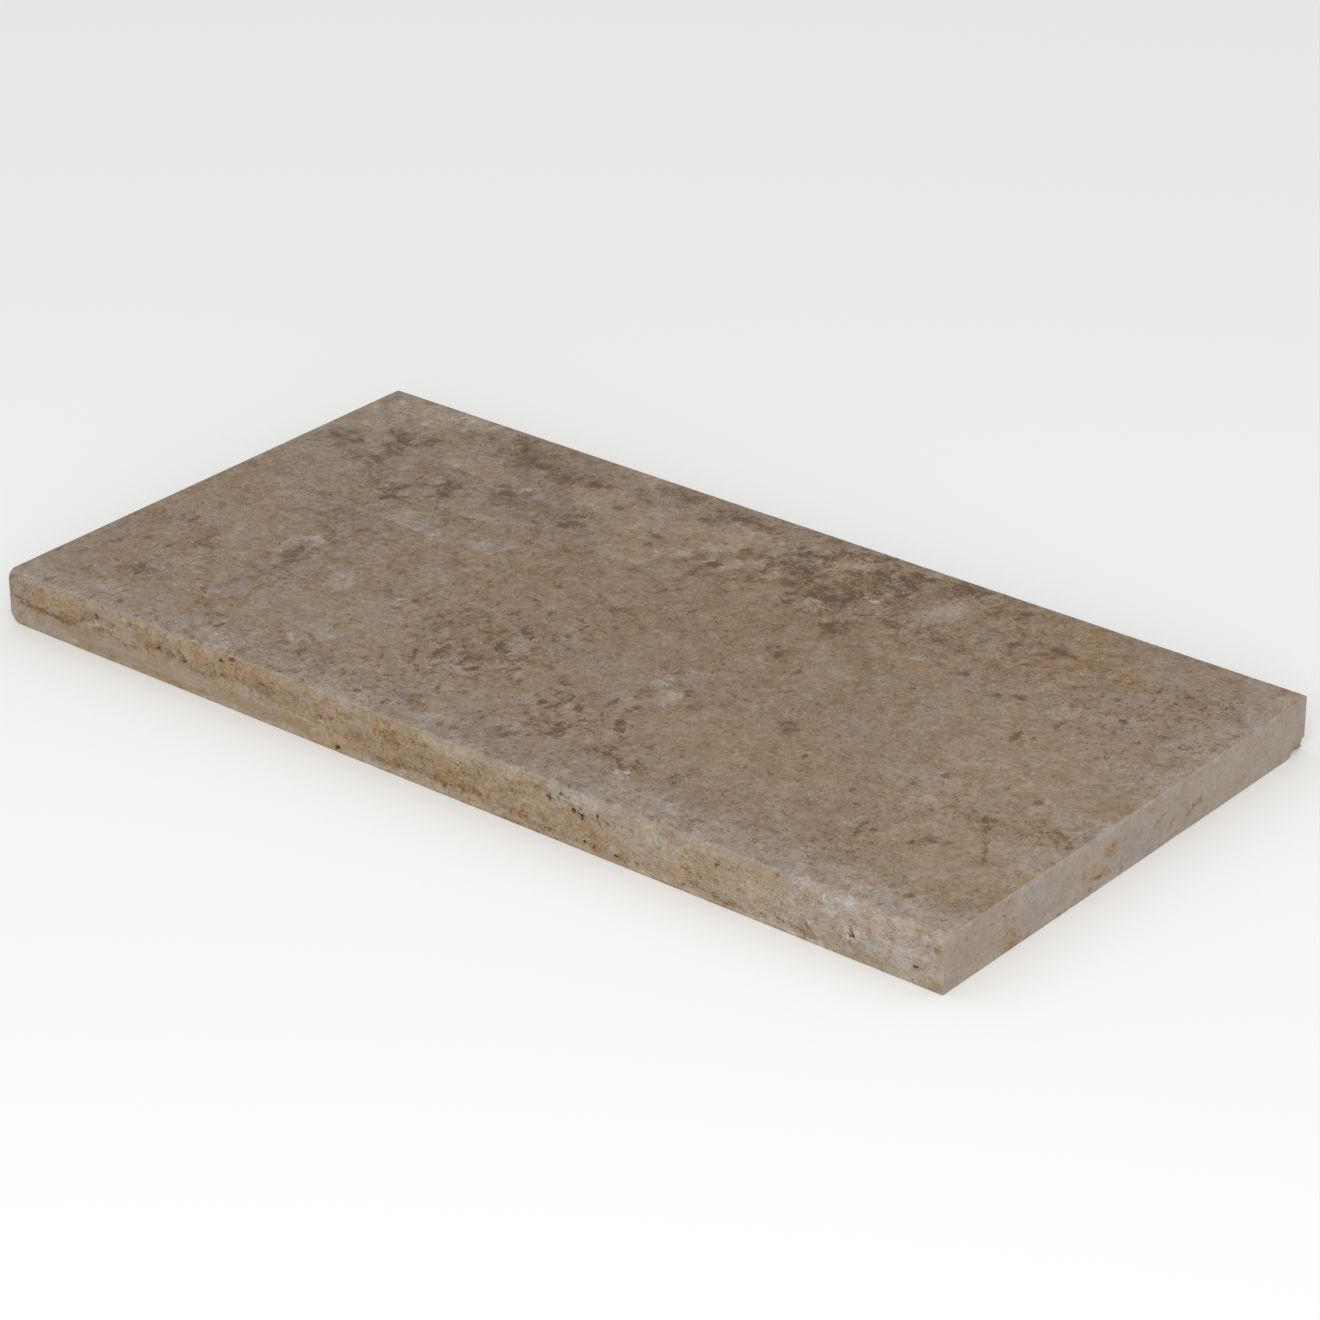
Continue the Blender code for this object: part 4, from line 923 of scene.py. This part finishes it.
# The stone's material: the sum of all lightness picks a shade, and the sum of all warmth tints it.
def brushedTravertine():
    look = stoneFinish
    material = bpy.data.materials.new("brushedTravertine")
    material.use_nodes = True
    bench = NodeBench(material.node_tree)
    shader = material.node_tree.nodes["Principled BSDF"]
    places = [bench.place(look["stretch"], shift) for shift in look["shifts"]]
    sawn = bench.field("sawn")
    banded = bench.field("banded")
    calm = bench.plus(1.0, sawn, -look["sawnCalm"])
    calm = bench.plus(calm, banded, -look["bandCalm"])

    # Mottling and grain, dark patches and ash, flecks, pale sparks and marks
    patchy = bench.field("patches")
    mottle = bench.cloud(places[0], look["mottleSize"], 3)
    grain = bench.cloud(places[1], look["grainSize"], 3)
    cloud = bench.cloud(places[2], look["patchSize"], 4)
    speck = bench.cloud(places[1], look["fleckSize"], 4)
    spot = bench.cloud(places[3], look["sparkSize"], 3)
    patch = bench.past(cloud, bench.rise(look["patchEdge"], patchy), look["patchSoft"])
    patch = bench.times(patch, bench.rise(look["patchStrength"], patchy))
    ash = bench.past(bench.rise(look["ashEdge"], patchy), cloud, look["ashSoft"])
    ash = bench.times(ash, bench.rise(look["ashStrength"], patchy))
    fleck = bench.past(speck, bench.rise(look["fleckEdge"], bench.field("flecks")), look["fleckSoft"])
    fleck = bench.times(fleck, calm)
    spark = bench.times(bench.ease(spot, *look["sparkEase"]), calm)
    inMark = bench.ease(bench.plus(bench.field("mark"), speck, look["markRough"]), *look["markEase"])
    mark = bench.times(inMark, bench.field("markDark"))

    # Lightness and warmth, each a sum of its zones and these
    mottling = bench.rise((look["mottleLight"], look["mottlePatchy"]), patchy)
    light = bench.times(mottle, mottling)
    light = bench.plus(light, grain, look["grainLight"])
    warm = bench.times(light, look["darkWarm"])
    zoneLight = bench.times(bench.field("light"), bench.rise((1.0, look["zoneBreakUp"]), cloud))
    light = bench.plus(zoneLight, light, calm)
    band = bench.cloud(bench.place(look["bandStretch"], look["bandShift"]), look["bandSize"], 3)
    band = bench.times(band, banded)
    light = bench.plus(light, band, look["bandLight"])
    warm = bench.plus(warm, bench.cloud(places[3], look["mottleSize"], 3), look["mottleWarm"])
    warm = bench.plus(warm, bench.cloud(places[2], look["grainSize"], 3), look["grainWarm"])
    warm = bench.plus(bench.field("warm"), warm, calm)
    warm = bench.plus(warm, band, look["bandWarm"])
    for share, itsLight, itsWarm in (
        (sawn, "sawnLight", "sawnWarm"), (patch, "patchLight", "patchWarm"), (ash, "ashLight", "ashWarm"),
        (fleck, "fleckLight", "fleckWarm"), (spark, "sparkLight", "sparkWarm"),
    ):
        light = bench.plus(light, share, look[itsLight])
        warm = bench.plus(warm, share, look[itsWarm])
    light = bench.plus(light, bench.field("stain"), look["stainLight"])
    light = bench.math("MAXIMUM", bench.plus(light, mark, look["markLight"]), look["darkest"])
    # Painted shade in the open pits.
    light = bench.plus(light, bench.ease(mark, *look["pitEase"]), look["pitShade"])
    shades = bench.add("ShaderNodeValToRGB")
    ramp = shades.color_ramp
    reach = look["lightReach"]
    for step, colour in look["shades"][1:-1]:
        ramp.elements.new(0.5 + 0.5 * step / reach)
    for element, (step, colour) in zip(ramp.elements, look["shades"]):
        element.color = displayToLinear(colour)
    bench.feed(shades.inputs["Fac"], bench.plus(0.5, light, 0.5 / reach))

    warmest = bench.mix(bench.field("gold"), look["warm"], look["gold"])
    tint = bench.mix(bench.plus(0.5, warm, 0.5 / look["warmReach"]), look["cool"], warmest)
    bench.feed(shader.inputs["Base Color"], bench.mix(1.0, shades.outputs["Color"], tint, "MULTIPLY"))

    shader.inputs["Roughness"].default_value = look["roughness"]
    shader.inputs["Specular IOR Level"].default_value = look["specular"]
    height = bench.times(speck, look["speckRelief"])
    height = bench.plus(height, grain, look["grainRelief"])
    height = bench.plus(height, fleck, look["fleckRelief"])
    height = bench.plus(height, mark, look["markRelief"])
    bump = bench.add("ShaderNodeBump")
    bump.inputs["Strength"].default_value = look["reliefStrength"]
    bump.inputs["Distance"].default_value = look["reliefDepth"]
    bench.feed(bump.inputs["Height"], height)
    bench.feed(shader.inputs["Normal"], bump.outputs["Normal"])
    return material


# The studio: camera, light and floor
studio = {
    "cameraTurn": 39.540,               # degrees round from the nose towards the right end
    "cameraRise": 26.869,
    "cameraRoll": -0.336,
    "cameraAway": 2.3029,
    "aimRight": 0.01104,                # the bed's centre lies this far left of the view's centre
    "aimUp": 0.01190,                   # and this far below it
    "photoSide": 1320,                  # pixels
    "focalPixels": 4474.6,
    "sensor": 36.0,
    "skyStrength": 0.77,
    "boxSize": 1.8,
    "boxAway": 2.6,
    "boxTurn": 34.0,
    "boxRise": 22.0,
    "boxPower": 36.0,
    "floorRadius": 14.0,
    "floorCorners": 64,
    "floorGap": 0.05 * mm,
    "floorColour": (0.95, 0.95, 0.94, 1.0),
    "floorRoughness": 0.9,
}


# Unit vector from the stone towards a place turned and risen by the given degrees.
def towards(turn, rise):
    turn, rise = math.radians(turn), math.radians(rise)
    return Vector((math.sin(turn) * math.cos(rise), -math.cos(turn) * math.cos(rise), math.sin(rise)))


# The camera stands off along the view, turned about it by the roll, then moved up and to its right.
def addCamera():
    back = towards(studio["cameraTurn"], studio["cameraRise"])
    right = Vector((0.0, 0.0, 1.0)).cross(back).normalized()
    up = back.cross(right)
    roll = math.radians(studio["cameraRoll"])
    right, up = right * math.cos(roll) + up * math.sin(roll), up * math.cos(roll) - right * math.sin(roll)
    place = right * studio["aimRight"] + up * studio["aimUp"] + back * studio["cameraAway"]
    camera = bpy.data.objects.new("camera", bpy.data.cameras.new("camera"))
    camera.matrix_world = Matrix.Translation(place) @ Matrix((right, up, back)).transposed().to_4x4()
    camera.data.sensor_width = studio["sensor"]
    camera.data.lens = studio["sensor"] * studio["focalPixels"] / studio["photoSide"]
    bpy.context.scene.collection.objects.link(camera)
    bpy.context.scene.camera = camera


# An even white sky, and one square lamp that faces the stone.
def addLights():
    world = bpy.data.worlds.new("studio")
    world.use_nodes = True
    sky = world.node_tree.nodes["Background"]
    sky.inputs["Color"].default_value = (1.0, 1.0, 1.0, 1.0)
    sky.inputs["Strength"].default_value = studio["skyStrength"]
    bpy.context.scene.world = world
    bpy.context.scene.view_settings.view_transform = "Standard"
    lamp = bpy.data.lights.new("softBox", "AREA")
    lamp.size = studio["boxSize"]
    lamp.energy = studio["boxPower"]
    box = bpy.data.objects.new("softBox", lamp)
    direction = towards(studio["boxTurn"], studio["boxRise"])
    box.location = direction * studio["boxAway"]
    box.rotation_euler = direction.to_track_quat("Z", "Y").to_euler()
    bpy.context.scene.collection.objects.link(box)


# A round floor just under the stone: points at equal turns on one circle.
def addFloor():
    corners = studio["floorCorners"]
    around = np.linspace(0.0, 2.0 * np.pi, corners, endpoint=False)
    rim = np.stack([np.cos(around), np.sin(around), np.zeros(corners)], axis=1) * studio["floorRadius"]
    rim[:, 2] = -studio["floorGap"]
    mesh = bpy.data.meshes.new("floor")
    mesh.from_pydata(rim, [], [list(range(corners))])
    material = bpy.data.materials.new("paleFloor")
    material.use_nodes = True
    shader = material.node_tree.nodes["Principled BSDF"]
    shader.inputs["Base Color"].default_value = studio["floorColour"]
    shader.inputs["Roughness"].default_value = studio["floorRoughness"]
    shader.inputs["Specular IOR Level"].default_value = 0.0
    mesh.materials.append(material)
    floor = bpy.data.objects.new("floor", mesh)
    bpy.context.scene.collection.objects.link(floor)
    floor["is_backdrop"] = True


addCamera()
addLights()
addFloor()
print("studio ready")

stoneSkin = stoneMesh()
stoneSkin.materials.append(brushedTravertine())
print("finish ready")
stone = bpy.data.objects.new("copingStone", stoneSkin)
bpy.context.scene.collection.objects.link(stone)
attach(stone, "root")
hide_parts("coping_stone")
print("stone ready:", sum(len(face.vertices) - 2 for face in stoneSkin.polygons), "triangles")
